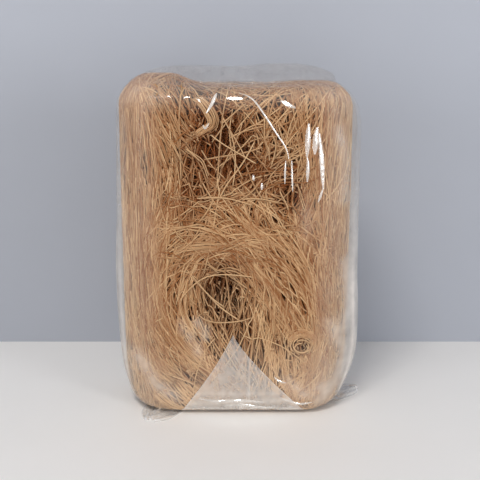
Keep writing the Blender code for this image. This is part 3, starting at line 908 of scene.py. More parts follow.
@dataclass
class NoodleBlock:
    """All the noodles of the pack: the locks at the sides, the tangle, the arch, the back and the top."""

    form: PackForm
    grower: NoodleGrower

    def families(self) -> dict[str, tuple[NoodleFamily, ...]]:
        """The families of each piece."""
        long_lock = {"rings": 25, "stride_mm": (4.6, 6.6), "wander": 1.5, "follow": 0.38, "weave_mm": 0.22}
        deep_lock = long_lock | {"rings": 21, "sides": 3}
        tangle = {"rings": 17, "stride_mm": (4.4, 6.0), "wander": 4.2, "follow": 0.20, "lock_mm": 6.0}
        plain = {"rings": 20, "stride_mm": (5.6, 7.6), "wander": 4.0, "follow": 0.30}
        deep_plain = plain | {"rings": 17, "sides": 3}
        ribbon = long_lock | {"rings": 18, "scatter": 0.10, "gap_mm": 1.18, "weave_mm": 0.4, "sag": (0.6, 0.9)}
        # The over noodles lie on top and get a pale lift that is painted light.
        over = {"rings": 20, "stride_mm": (3.6, 5.6), "wander": 3.6, "follow": 0.08, "members": 1, "pale": 0.30}
        over = over | {"weave_mm": 0.15, "depth_mm": (0.6, 1.3), "radius_mm": (0.40, 0.56)}
        crimped = {"rings": 17, "stride_mm": (1.8, 2.7), "wander": 13.0, "follow": 0.12, "loose": 30.0}
        short = plain | {"rings": 13}
        return {
            "noodles_front_left": (
                NoodleFamily(Face.FRONT, (-80, -38), (4, 216), 60, 6, depth_mm=(0.6, 2.6), **long_lock),
                NoodleFamily(Face.FRONT, (-80, -36), (4, 216), 50, 6, depth_mm=(2.8, 11.0), **deep_lock),
                NoodleFamily(Face.FRONT, (-80, -40), (10, 210), 24, 6, depth_mm=(0.6, 1.8), **ribbon),
                NoodleFamily(Face.FRONT, (-68, -42), (68, 114), 30, 3, depth_mm=(0.7, 2.2), **crimped),
                NoodleFamily(Face.FRONT, (-74, -34), (12, 214), 54, **(over | {"loose": 10.0, "follow": 0.2, "wander": 2.4})),
            ),
            "noodles_front_right": (
                NoodleFamily(Face.FRONT, (38, 80), (6, 216), 56, 6, depth_mm=(0.6, 2.6), **long_lock),
                NoodleFamily(Face.FRONT, (36, 80), (6, 216), 50, 6, depth_mm=(2.8, 11.0), **deep_lock),
                NoodleFamily(Face.FRONT, (40, 80), (60, 210), 18, 6, depth_mm=(0.6, 1.8), **ribbon),
                NoodleFamily(Face.FRONT, (44, 76), (10, 130), 36, 3, depth_mm=(0.7, 2.2), **crimped),
                NoodleFamily(Face.FRONT, (36, 76), (12, 210), 60, **(over | {"loose": 26.0, "wander": 5.0})),
            ),
            "noodles_front_tangle": (
                NoodleFamily(Face.FRONT, (-32, 44), (128, 214), 64, 3, depth_mm=(0.7, 4.0), **tangle),
                NoodleFamily(Face.FRONT, (-50, -26), (150, 218), 12, 6, depth_mm=(0.6, 2.2), **long_lock),
                NoodleFamily(Face.FRONT, (-44, 44), (128, 214), 90, 4, depth_mm=(3.4, 10.0), **(tangle | {"sides": 3})),
                NoodleFamily(Face.FRONT, (-24, 44), (132, 206), 70, **(over | {"loose": 80.0})),
            ),
            "noodles_front_arch": (
                NoodleFamily(Face.FRONT, (-42, 50), (6, 132), 58, 5, depth_mm=(0.7, 3.2), **(long_lock | {"sag": (0.3, 0.9)})),
                NoodleFamily(Face.FRONT, (-42, 50), (6, 132), 84, 5, depth_mm=(3.0, 9.0), **(deep_lock | {"sag": (0.3, 0.9)})),
                NoodleFamily(Face.FRONT, (12, 66), (8, 64), 15, 6, depth_mm=(1.6, 4.0), **deep_lock),
                NoodleFamily(Face.FRONT, (-62, -16), (8, 60), 13, 6, depth_mm=(1.6, 4.0), **deep_lock),
                NoodleFamily(Face.FRONT, (20, 50), (20, 125), 10, 6, depth_mm=(0.6, 1.6), **ribbon),
                NoodleFamily(Face.FRONT, (-40, 12), (14, 132), 62, **(over | {"loose": 60.0, "sag": (0.2, 0.9)})),
                NoodleFamily(Face.FRONT, (8, 50), (14, 132), 64, **(over | {"loose": 16.0, "follow": 0.22, "wander": 2.4})),
                # The pale lifts in these families are painted light on noodles that lie on top.
                NoodleFamily(Face.FRONT, (22, 68), (8, 62), 34, 2, depth_mm=(0.6, 1.4), **(crimped | {"pale": 0.35})),
                NoodleFamily(Face.FRONT, (-66, -20), (10, 70), 18, **(over | {"loose": 24.0, "pale": 0.4})),
                NoodleFamily(Face.FRONT, (-68, -18), (8, 64), 12, 6, depth_mm=(0.6, 1.2), **(ribbon | {"pale": 0.35})),
                NoodleFamily(Face.FRONT, (16, 70), (10, 66), 30, **(over | {"loose": 60.0, "pale": 0.4, "rings": 14})),
            ),
            "noodles_back": (
                NoodleFamily(Face.BACK, (-78, 78), (4, 220), 104, 6, depth_mm=(0.6, 3.4), **plain),
                NoodleFamily(Face.BACK, (-78, 78), (4, 220), 60, 6, depth_mm=(3.4, 11.0), **deep_plain),
            ),
            "noodles_sides": (
                NoodleFamily(Face.LEFT, (-28, 28), (4, 220), 50, 6, depth_mm=(0.6, 6.0), **plain),
                NoodleFamily(Face.RIGHT, (-28, 28), (4, 220), 50, 6, depth_mm=(0.6, 6.0), **plain),
            ),
            "noodles_top_and_foot": (
                NoodleFamily(Face.TOP, (-72, 72), (-30, 30), 90, 5, depth_mm=(0.6, 6.0), **short),
                NoodleFamily(Face.BASE, (-66, 66), (-28, 28), 36, 5, depth_mm=(0.8, 5.0), **short),
            ),
        }

    def loose(self) -> Strands:
        """The single noodles that lie on top of the rest at the front."""
        routes = []
        for depth, marks in LOOSE_NOODLES:
            flat = smooth_route(np.array(marks, float), 14)
            under = np.full(len(flat), depth * MM)
            under[[0, -1]] += 0.0006
            routes.append(self.form.on_front(flat[:, 0], flat[:, 1], -under))
        count = len(routes)
        draw = self.grower.draw
        # These noodles lie on top and are given a paler tint, as painted light.
        tint = np.clip(draw.normal(0.74, 0.12, count), 0, 1)
        return Strands(np.stack(routes), draw.uniform(0.42, 0.52, count) * MM, tint, 5)

    def rolled_loop(self) -> Strands:
        """The small rolled loop of noodles at the lower right of the front, round a dark hole."""
        draw, routes = self.grower.draw, []
        for _ in range(56):
            out = draw.uniform(0, 1) ** 0.9 * 6.0
            start, sweep = draw.uniform(0, math.tau), math.tau * draw.uniform(0.35, 0.9)
            if out > 2.0:
                start, sweep = draw.uniform(-1.0, 1.2), draw.uniform(1.3, 3.4)
            angle = start + np.linspace(0, sweep, 16)
            reach = 4.3 + out + np.linspace(0, draw.uniform(-1.0, 1.6), 16)
            x = 44.4 + 0.25 * out + draw.normal(0, 0.7) + reach * np.cos(angle) * draw.uniform(0.90, 1.06)
            z = 49.2 + 0.60 * out + draw.normal(0, 0.7) + reach * np.sin(angle) * draw.uniform(0.82, 1.0)
            under = (0.35 + draw.uniform(0, 6.5) * np.maximum(1 - out / 3.4, 0) + 0.05 * out) * MM
            under = under + np.linspace(0, draw.uniform(0, 0.0010), 16)
            routes.append(self.form.on_front(x, z, -under))
        count = len(routes)
        return Strands(np.stack(routes), draw.uniform(0.44, 0.56, count) * MM, draw.uniform(0.60, 1.0, count), 5)

    def folded_lock(self) -> Strands:
        """A lock folded back on itself at the upper left of the hollow, with its bend turned down."""
        draw, routes = self.grower.draw, []
        bend = ((-25, 223), (-20.5, 216), (-16.8, 209.5), (-14.6, 204.5), (-15.6, 200), (-20, 197.4), (-24, 194.5))
        middle = np.array(bend + ((-28, 192.4), (-32.5, 189.0), (-36.0, 184.0)), float)
        for index in range(13):
            share = (index - 6) * 0.68
            path = smooth_route(middle, 20)
            run = unit(np.gradient(path, axis=0))
            aside = np.stack([run[:, 1], -run[:, 0]], -1)
            narrowing = np.linspace(1.0, 0.45, 20)[:, None]
            path = path + aside * (share + draw.normal(0, 0.35)) * narrowing + draw.normal(0, 0.3, 2)
            path = path + aside * (draw.uniform(0, 0.7) * np.sin(np.linspace(0, 7, 20) + draw.uniform(0, 6)))[:, None]
            under = (0.9 + 0.05 * share**2 + abs(draw.normal(0, 0.7)) + np.linspace(0, 2.2, 20)) * MM
            routes.append(self.form.on_front(path[:, 0], path[:, 1], -under))
        count = len(routes)
        return Strands(np.stack(routes), draw.uniform(0.50, 0.60, count) * MM, draw.uniform(0.45, 0.9, count), 5)

    def build(self, material: bpy.types.Material) -> list[bpy.types.Object]:
        """Grows every family and makes its piece.

        Args:
            material: The noodles' finish.

        Returns:
            The pieces.
        """
        pieces = []
        for name, families in self.families().items():
            piece = NoodlePiece(name, self.form)
            for family in families:
                piece.add(self.grower.grow(family))
            pieces.append(piece)
        top = NoodlePiece("noodles_loose_front", self.form)
        top.add(self.loose()).add(self.rolled_loop()).add(self.folded_lock())
        pieces.append(top)
        crowd = NoodleCrowd([batch for piece in pieces for batch in piece.batches])
        return [piece.build(material, crowd) for piece in pieces]


def deselect_all() -> None:
    """Leaves edit mode and deselects every object."""
    if bpy.context.mode != "OBJECT":
        bpy.ops.object.mode_set(mode="OBJECT")
    bpy.ops.object.select_all(action="DESELECT")


def apply_modifier(made: bpy.types.Object, name: str) -> None:
    """Applies one modifier of a piece."""
    deselect_all()
    made.select_set(True)
    bpy.context.view_layer.objects.active = made
    bpy.ops.object.modifier_apply(modifier=name)


def cut_cells(size: tuple[float, float, float], cell: float) -> None:
    """Subdivides the edited box along each axis into cells of about one size.

    Args:
        size: The box's sides.
        cell: The size of a cell.
    """
    for axis in range(3):
        shape = bmesh.from_edit_mesh(bpy.context.edit_object.data)
        for edge in shape.edges:
            run = edge.verts[1].co - edge.verts[0].co
            edge.select_set(abs(run[axis]) > 0.9 * run.length)
        shape.select_flush_mode()
        bpy.ops.mesh.subdivide(number_cuts=max(1, round(size[axis] / cell) - 1))


def boxed_start(name: str, form: PackForm, cell: float) -> bpy.types.Object:
    """A box of the pack's size, cut into even cells, to be shaped further.

    Args:
        name: The piece's name.
        form: The pack form.
        cell: The size of a cell.

    Returns:
        The object, back in object mode.
    """
    deselect_all()
    size = (form.width, form.depth, form.height)
    bpy.ops.mesh.primitive_cube_add(size=1.0, location=(0, 0, form.height / 2))
    made = bpy.context.object
    made.name = made.data.name = name
    made.scale = size
    bpy.ops.object.transform_apply(location=True, rotation=True, scale=True)
    bpy.ops.object.mode_set(mode="EDIT")
    bpy.ops.mesh.select_mode(type="EDGE")
    cut_cells(size, cell)
    bpy.ops.object.mode_set(mode="OBJECT")
    return made


def vertex_places(mesh: bpy.types.Mesh) -> np.ndarray:
    """The mesh's vertex positions as rows."""
    flat = np.empty(len(mesh.vertices) * 3, np.float32)
    mesh.vertices.foreach_get("co", flat)
    return flat.reshape(-1, 3).astype(float)


def place_vertices(mesh: bpy.types.Mesh, places: np.ndarray) -> None:
    """Moves the mesh's vertices to new positions."""
    mesh.vertices.foreach_set("co", places.astype(np.float32).reshape(-1))
    mesh.update()


def write_amount(mesh: bpy.types.Mesh, name: str, amount: np.ndarray) -> None:
    """Stores one number for each vertex as a named attribute."""
    made = mesh.attributes.new(name, "FLOAT", "POINT")
    made.data.foreach_set("value", amount.astype(np.float32))


class NodeBuilder:
    """Small helper that adds and links shader nodes in one tree."""

    def __init__(self, tree: bpy.types.NodeTree) -> None:
        """Keeps the tree."""
        self.tree = tree

    def add(self, kind: str, inputs: dict | None = None, **settings) -> bpy.types.Node:
        """Adds a node.

        Args:
            kind: The node's type name.
            inputs: Values or sockets for its inputs, by name or number.
            **settings: Properties of the node itself.

        Returns:
            The node.
        """
        node = self.tree.nodes.new(kind)
        for key, value in settings.items():
            setattr(node, key, value)
        for key, value in (inputs or {}).items():
            socket = node.inputs[key]
            if isinstance(value, bpy.types.NodeSocket):
                self.tree.links.new(value, socket)
            else:
                socket.default_value = value
        return node

    def maths(self, operation: str, *values) -> bpy.types.NodeSocket:
        """A Math node's result."""
        node = self.add("ShaderNodeMath", dict(enumerate(values)), operation=operation)
        return node.outputs[0]

    def blend(self, share, first, second) -> bpy.types.NodeSocket:
        """A colour between two colours."""
        node = self.add("ShaderNodeMix", data_type="RGBA")
        sockets = (node.inputs[0], node.inputs[6], node.inputs[7])
        for value, socket in zip((share, first, second), sockets):
            if isinstance(value, bpy.types.NodeSocket):
                self.tree.links.new(value, socket)
            else:
                socket.default_value = value
        return node.outputs[2]

    def ramp(self, value, low: float, high: float, to_low: float = 0.0, to_high: float = 1.0):
        """A value mapped smoothly from one range to another."""
        node = self.add("ShaderNodeMapRange", {0: value, 1: low, 2: high, 3: to_low, 4: to_high})
        return node.outputs[0]


def new_group(name: str, inputs: dict[str, float], outputs: dict[str, str]) -> tuple:
    """Starts a shader node group.

    Args:
        name: The group's name.
        inputs: Its float inputs with their usual values.
        outputs: Its outputs with their socket types.

    Returns:
        The group, a builder for it, its input node and its output node.
    """
    group = bpy.data.node_groups.new(name, "ShaderNodeTree")
    for label, value in inputs.items():
        socket = group.interface.new_socket(label, in_out="INPUT", socket_type="NodeSocketFloat")
        socket.default_value = value
    for label, kind in outputs.items():
        group.interface.new_socket(label, in_out="OUTPUT", socket_type=kind)
    builder = NodeBuilder(group)
    return group, builder, builder.add("NodeGroupInput"), builder.add("NodeGroupOutput")


def new_material(name: str) -> tuple[bpy.types.Material, NodeBuilder, bpy.types.Node]:
    """A material with an empty tree, its builder and its output node."""
    material = bpy.data.materials.new(name)
    material.use_nodes = True
    material.node_tree.nodes.clear()
    builder = NodeBuilder(material.node_tree)
    return material, builder, builder.add("ShaderNodeOutputMaterial")


def starch_grain_group() -> bpy.types.NodeTree:
    """Fine starch grain of dry noodle: a mottle, pits and a pale dust, shared by the noodles and the core."""
    group, make, entry, leave = new_group(
        "starch_grain",
        {"Scale": 1.0, "Strength": 1.0},
        {"Mottle": "NodeSocketFloat", "Dust": "NodeSocketFloat", "Normal": "NodeSocketVector"},
    )
    place = make.add("ShaderNodeTexCoord").outputs["Object"]
    wide = make.add("ShaderNodeTexNoise", {"Vector": place, "Scale": 55.0, "Detail": 3.0, "Roughness": 0.6})
    fine_scale = make.maths("MULTIPLY", entry.outputs["Scale"], 1500.0)
    fine = make.add("ShaderNodeTexNoise", {"Vector": place, "Scale": fine_scale, "Detail": 2.0})
    specks = make.add("ShaderNodeTexVoronoi", {"Vector": place, "Scale": 900.0, "Randomness": 1.0})
    dust = make.ramp(specks.outputs["Distance"], 0.28, 0.05)
    mottle = make.maths("ADD", make.maths("MULTIPLY", wide.outputs[0], 0.65), make.maths("MULTIPLY", fine.outputs[0], 0.35))
    height = make.maths("ADD", fine.outputs[0], make.maths("MULTIPLY", dust, -0.4))
    bump = make.add("ShaderNodeBump", {"Strength": entry.outputs["Strength"], "Distance": 0.00008, "Height": height})
    make.tree.links.new(mottle, leave.inputs["Mottle"])
    make.tree.links.new(dust, leave.inputs["Dust"])
    make.tree.links.new(bump.outputs[0], leave.inputs["Normal"])
    return group


def film_crinkle_group() -> bpy.types.NodeTree:
    """The small crinkles of handled film: a bent normal, a cloudy mask and a roughness, shared by all film."""
    group, make, entry, leave = new_group(
        "film_crinkle",
        {"Scale": 1.0, "Strength": 0.3},
        {"Cloud": "NodeSocketFloat", "Roughness": "NodeSocketFloat", "Normal": "NodeSocketVector"},
    )
    place = make.add("ShaderNodeTexCoord").outputs["Object"]
    spread = make.add("ShaderNodeVectorMath", {0: place, "Scale": entry.outputs["Scale"]}, operation="SCALE").outputs[0]
    bend = make.add("ShaderNodeTexNoise", {"Vector": spread, "Scale": 34.0, "Detail": 2.0, "Distortion": 1.1})
    sharp = make.add("ShaderNodeTexNoise", {"Vector": spread, "Scale": 120.0, "Detail": 3.0, "Distortion": 0.6})
    sharp.noise_type = "RIDGED_MULTIFRACTAL"
    height = make.maths("ADD", bend.outputs[0], make.maths("MULTIPLY", sharp.outputs[0], 0.05))
    bump = make.add("ShaderNodeBump", {"Strength": entry.outputs["Strength"], "Distance": 0.0030, "Height": height})
    cloud = make.add("ShaderNodeTexNoise", {"Vector": spread, "Scale": 62.0, "Detail": 5.0, "Roughness": 0.65})
    make.tree.links.new(make.ramp(cloud.outputs[0], 0.36, 0.68), leave.inputs["Cloud"])
    make.tree.links.new(make.ramp(cloud.outputs[0], 0.3, 0.7, 0.05, 0.14), leave.inputs["Roughness"])
    make.tree.links.new(bump.outputs[0], leave.inputs["Normal"])
    return group


@dataclass(frozen=True)
class NoodleFinish:
    """Dry brown rice noodle: pale tan strands, with painted shade that turns them darker brown where they lie buried
    further in.
    """

    name: str = "dry_rice_noodle"
    dark: tuple[float, float, float, float] = (0.275, 0.098, 0.022, 1.0)
    light: tuple[float, float, float, float] = (0.712, 0.482, 0.264, 1.0)
    # The colour of painted shade, that buried noodles are blended towards.
    painted_shade: tuple[float, float, float, float] = (0.255, 0.076, 0.016, 1.0)
    cut_end: tuple[float, float, float, float] = (0.900, 0.680, 0.440, 1.0)
    roughness: float = 0.40

    def build(self, grain: bpy.types.NodeTree) -> bpy.types.Material:
        """Makes the material.

        Args:
            grain: The shared starch grain group.

        Returns:
            The material.
        """
        material, make, output = new_material(self.name)
        look = make.add("ShaderNodeAttribute", attribute_name="noodle")
        parts = make.add("ShaderNodeSeparateColor", {0: look.outputs["Color"]})
        grained = make.add("ShaderNodeGroup", node_tree=grain)
        grained.inputs["Strength"].default_value = 0.5
        shade = make.maths("MULTIPLY_ADD", grained.outputs["Mottle"], 0.7, -0.35)
        shade = make.maths("ADD", parts.outputs[0], shade)
        colour = make.blend(make.ramp(shade, 0.0, 1.0), self.dark, self.light)
        colour = make.blend(make.maths("MULTIPLY", parts.outputs[2], 0.15), colour, self.cut_end)
        colour = make.blend(make.maths("MULTIPLY", grained.outputs["Dust"], 0.22), colour, self.cut_end)
        # Painted shade: the attribute's second channel blends the colour towards the painted-shade colour.
        colour = make.blend(make.ramp(parts.outputs[1], 0.03, 0.75, 0.0, 0.95), colour, self.painted_shade)
        rough = make.maths("MULTIPLY_ADD", grained.outputs["Mottle"], 0.25, self.roughness - 0.12)
        shader = make.add(
            "ShaderNodeBsdfPrincipled",
            {
                "Base Color": colour,
                "Roughness": rough,
                "Normal": grained.outputs["Normal"],
                "Specular IOR Level": 0.18,
            },
        )
        make.tree.links.new(shader.outputs[0], output.inputs[0])
        return material


@dataclass(frozen=True)
class CoreFinish:
    """The inside of the block, seen only between noodles, in dark browns that are painted shade."""

    name: str = "noodle_core_shade"
    low: tuple[float, float, float, float] = (0.200, 0.064, 0.016, 1.0)
    high: tuple[float, float, float, float] = (0.340, 0.125, 0.036, 1.0)

    def build(self, grain: bpy.types.NodeTree) -> bpy.types.Material:
        """Makes the material.

        Args:
            grain: The shared starch grain group.

        Returns:
            The material.
        """
        material, make, output = new_material(self.name)
        place = make.add("ShaderNodeTexCoord").outputs["Object"]
        streak = make.add("ShaderNodeTexNoise", {"Vector": place, "Scale": 260.0, "Detail": 4.0, "Distortion": 2.5})
        grained = make.add("ShaderNodeGroup", node_tree=grain)
        colour = make.blend(make.ramp(streak.outputs[0], 0.35, 0.7), self.low, self.high)
        bump = make.add(
            "ShaderNodeBump",
            {"Strength": 1.0, "Distance": 0.0012, "Height": streak.outputs[0], "Normal": grained.outputs["Normal"]},
        )
        shader = make.add(
            "ShaderNodeBsdfPrincipled", {"Base Color": colour, "Roughness": 0.8, "Normal": bump.outputs[0]}
        )
        make.tree.links.new(shader.outputs[0], output.inputs[0])
        return material


@dataclass(frozen=True)
class FilmFinish:
    """Clear glossy film: see-through, with a white veil set by the haze attribute, and lamp reflections. The veil is
    the film's own haze where it is layered, and partly painted reflection at the film's sides and painted highlight on
    the folds.
    """

    name: str
    veil: float = 0.0
    veil_by_haze: float = 1.0
    cloudiness: float = 0.35
    gloss: float = 0.002
    edge_gloss: float = 0.60
    crinkle: float = 0.25
    scale: float = 1.0
    colour: tuple[float, float, float, float] = (0.90, 0.84, 0.76, 1.0)
    thick_colour: tuple[float, float, float, float] = (0.74, 0.68, 0.62, 1.0)

    def build(self, crinkle: bpy.types.NodeTree) -> bpy.types.Material:
        """Makes the material.

        Args:
            crinkle: The shared film crinkle group.

        Returns:
            The material.
        """
        material, make, output = new_material(self.name)
        haze = make.add("ShaderNodeAttribute", attribute_name="haze").outputs["Fac"]
        wrinkled = make.add("ShaderNodeGroup", node_tree=crinkle)
        wrinkled.inputs["Scale"].default_value = self.scale
        wrinkled.inputs["Strength"].default_value = self.crinkle
        cloud = make.maths("MULTIPLY_ADD", wrinkled.outputs["Cloud"], self.cloudiness, 1 - self.cloudiness / 2)
        layered = make.maths("MULTIPLY_ADD", haze, self.veil_by_haze, self.veil)
        veil = make.add("ShaderNodeMath", {0: layered, 1: cloud}, operation="MULTIPLY", use_clamp=True).outputs[0]
        clear = make.add("ShaderNodeBsdfTransparent")
        tone = make.blend(make.ramp(haze, 0.25, 0.75), self.colour, self.thick_colour)
        white = make.add("ShaderNodeBsdfPrincipled", {"Base Color": tone, "Roughness": 0.45})
        body = make.add("ShaderNodeMixShader", {0: veil, 1: clear.outputs[0], 2: white.outputs[0]})
        edge = make.add("ShaderNodeFresnel", {"IOR": 1.42, "Normal": wrinkled.outputs["Normal"]}).outputs[0]
        beyond = make.maths("MAXIMUM", make.maths("SUBTRACT", edge, 0.03), 0.0)
        share = make.add(
            "ShaderNodeMath", {0: beyond, 1: self.edge_gloss, 2: self.gloss}, operation="MULTIPLY_ADD", use_clamp=True
        )
        mirror = make.add(
            "ShaderNodeBsdfPrincipled",
            {
                "Base Color": (1.0, 1.0, 1.0, 1.0),
                "Metallic": 1.0,
                "Roughness": wrinkled.outputs["Roughness"],
                "Normal": wrinkled.outputs["Normal"],
            },
        )
        surface = make.add(
            "ShaderNodeMixShader", {0: share.outputs[0], 1: body.outputs[0], 2: mirror.outputs[0]}
        )
        make.tree.links.new(surface.outputs[0], output.inputs[0])
        return material


@dataclass(frozen=True)
class StageFinish:
    """A plain matt stage surface, clear from behind so that it never hides the pack."""

    name: str
    colour: tuple[float, float, float, float]
    roughness: float = 0.6

    def build(self) -> bpy.types.Material:
        """Makes the material."""
        material, make, output = new_material(self.name)
        place = make.add("ShaderNodeTexCoord").outputs["Object"]
        grain = make.add("ShaderNodeTexNoise", {"Vector": place, "Scale": 9.0, "Detail": 5.0})
        paler = tuple(min(1.0, 1.06 * part) for part in self.colour[:3]) + (1.0,)
        colour = make.blend(grain.outputs[0], self.colour, paler)
        shader = make.add("ShaderNodeBsdfPrincipled", {"Base Color": colour, "Roughness": self.roughness})
        behind = make.add("ShaderNodeNewGeometry").outputs["Backfacing"]
        clear = make.add("ShaderNodeBsdfTransparent")
        mixed = make.add("ShaderNodeMixShader", {0: behind, 1: shader.outputs[0], 2: clear.outputs[0]})
        make.tree.links.new(mixed.outputs[0], output.inputs[0])
        return material


def near_route(points: np.ndarray, marks_mm: tuple, side: float = -1.0) -> np.ndarray:
    """Distance in millimetres, across and up, from points to a line of marks on the front.

    Args:
        points: Points with x, y and z.
        marks_mm: The marks, as millimetres across and up.
        side: -1 for the front; points on the other side count as far away.

    Returns:
        One distance for each point.
    """
    flat = points[:, [0, 2]] / MM
    best = np.full(len(flat), 1e3)
    marks = np.array(marks_mm, float)
    for start, finish in zip(marks, marks[1:]):
        run = finish - start
        share = np.clip(((flat - start) @ run) / (run @ run), 0, 1)
        best = np.minimum(best, np.linalg.norm(flat - start - share[:, None] * run, axis=1))
    return np.where(side * points[:, 1] > 0, best, 1e3)


@dataclass
class FilmShell:
    """The clear bag drawn tight over the block, with soft wrinkles where it pulls."""

    form: PackForm
    cell: float = 0.0052
    swell: float = 0.0005
    wrinkles: tuple = (
        (1.0, 2.4, ((-74, 214), (-66, 196), (-62, 176))),
        (0.8, 2.2, ((-60, 221), (-54, 205), (-50, 190))),
        (0.7, 2.4, ((-40, 222), (-37, 206), (-35, 198))),
        (0.9, 2.0, ((-13, 225), (-15, 217), (-19, 210))),
        (0.9, 2.6, ((30, 222), (33, 214), (40, 210), (52, 206))),
        (0.8, 2.2, ((55, 222), (58, 206), (57, 188))),
        (0.8, 2.4, ((72, 212), (68, 190), (70, 160))),
        (0.7, 2.2, ((49, 200), (47, 182), (48, 168))),
        (0.8, 2.2, ((53, 198), (54, 180), (57, 160))),
        (0.9, 3.0, ((60, 140), (66, 100), (70, 60))),
        (0.9, 2.6, ((74, 92), (73, 60), (66, 30), (60, 10))),
        (0.8, 2.4, ((48, 30), (56, 18), (66, 12))),
        (0.8, 2.6, ((-72, 60), (-68, 34), (-58, 12))),
        (0.7, 2.4, ((-60, 24), (-50, 12), (-40, 5))),
    )
    streaks: tuple = (
        (0.20, 2.6, ((-37, 66), (-30, 56), (-24, 44))),
        (0.22, 2.6, ((-26, 68), (-20, 58))),
        (0.24, 3.0, ((-66, 44), (-56, 24), (-40, 12))),
        (0.26, 2.6, ((70, 108), (73, 84), (70, 62))),
        (0.30, 2.8, ((64, 66), (71, 46), (68, 24), (58, 10))),
        (0.22, 2.6, ((34, 26), (46, 16), (60, 20))),
        (0.20, 2.6, ((66, 196), (70, 176), (69, 150))),
    )

    def height(self, points: np.ndarray) -> np.ndarray:
        """The film's height over the form, with its slack, swells and wrinkles.

        Args:
            points: Points on the form.

        Returns:
            One height for each point.
        """
        swell = np.array([noise.noise(Vector(point) * 38.0) for point in points])
        ripple = np.array([noise.noise(Vector((p[0] * 95, p[1] * 95, p[2] * 30))) for p in points])
        total = self.form.slack(points) + self.form.hump(points) + self.swell * (0.7 * swell + 0.5 * ripple)
        for height, width, marks in self.wrinkles:
            total += height * MM * 0.6 * np.exp(-((near_route(points, marks) / width) ** 2))
        foot = smooth_step(0.0, 0.010, points[:, 2])
        return np.maximum(total * foot, 0.0003)

    def haze(self, points: np.ndarray) -> np.ndarray:
        """How white the film looks at each point: most at the sides, the top and the lower right. The white side bands,
        whiter lower down and fading towards the back, are partly the film's own haze and partly painted reflection of
        the bright room and floor seen at a grazing angle.
        """
        x, z = points[:, 0] / MM, points[:, 2] / MM
        y = points[:, 1]
        # Painted reflection, in part: the side bands whiten towards the floor and stay on the part of the sides seen
        # from the front.
        outer = smooth_step(-0.032, -0.018, y) * smooth_step(68, 77, np.abs(x)) * smooth_step(205, 110, z)
        left = 0.30 * smooth_step(-66, -79, x) * smooth_step(235, 190, z) + 0.10 * smooth_step(-44, -66, x)
        right = (0.16 + 0.46 * smooth_step(190, 80, z)) * smooth_step(67, 78, x) + 0.12 * smooth_step(46, 66, x)
        aside = 1 - 0.90 * smooth_step(-0.026, 0.012, y)
        pulls = np.array([noise.noise(Vector((0.0, p[1] * 210, p[2] * 16))) for p in points])
        streaky = 1 - smooth_step(-0.034, -0.022, y) * (0.50 - 0.50 * smooth_step(-0.25, 0.45, pulls))
        left, right = (left + 0.22 * outer) * aside * streaky, (right + 0.26 * outer) * aside * streaky
        top = 0.14 * smooth_step(206, 225, z)
        low_right = 0.05 * np.exp(-(((x - 56) / 22) ** 2) - ((z - 14) / 34) ** 2)
        low = 0.13 * smooth_step(64, 6, z)
        bridge = 0.12 * np.exp(-(((x - 47) / 5) ** 2) - ((z - 140) / 16) ** 2)
        streaks = sum(amount * np.exp(-((near_route(points, marks) / width) ** 2)) for amount, width, marks in self.streaks)
        return np.clip(0.001 + left + right + top + low_right + low + bridge + streaks, 0, 1)

    def build(self, material: bpy.types.Material) -> bpy.types.Object:
        """Makes the film shell.

        Args:
            material: The film's finish.

        Returns:
            The object.
        """
        made = boxed_start("film_shell", self.form, self.cell)
        mesh = made.data
        start = vertex_places(mesh)
        resting = start[:, 2] < 1e-6
        places = self.form.settled(start, 0.0, 6)
        haze = self.haze(places)
        places = self.form.settled(places, self.height(places), 3)
        places[resting & (places[:, 2] < 0.0004), 2] = 0.0
        places[:, 2] = np.maximum(places[:, 2], 0.0)
        place_vertices(mesh, places)
        write_amount(mesh, "haze", haze)
        mesh.materials.append(material)
        mesh.shade_smooth()
        finer = made.modifiers.new("finer", "SUBSURF")
        finer.levels = finer.render_levels = 1
        apply_modifier(made, "finer")
        return made


class Lit(Enum):
    """The studio light that a film fold faces."""

    LAMP = "lamp"
    LEFT = "left"
    RIGHT = "right"


@dataclass(frozen=True)
class Fold:
    """A pinched fold of film on the front."""

    width_mm: float
    lit: Lit
    marks_mm: tuple
    # veil is the fold's white: partly the whitening of pinched film, and where raised on the long crease and the
    # top-left V, a painted highlight.
    veil: float = 0.3


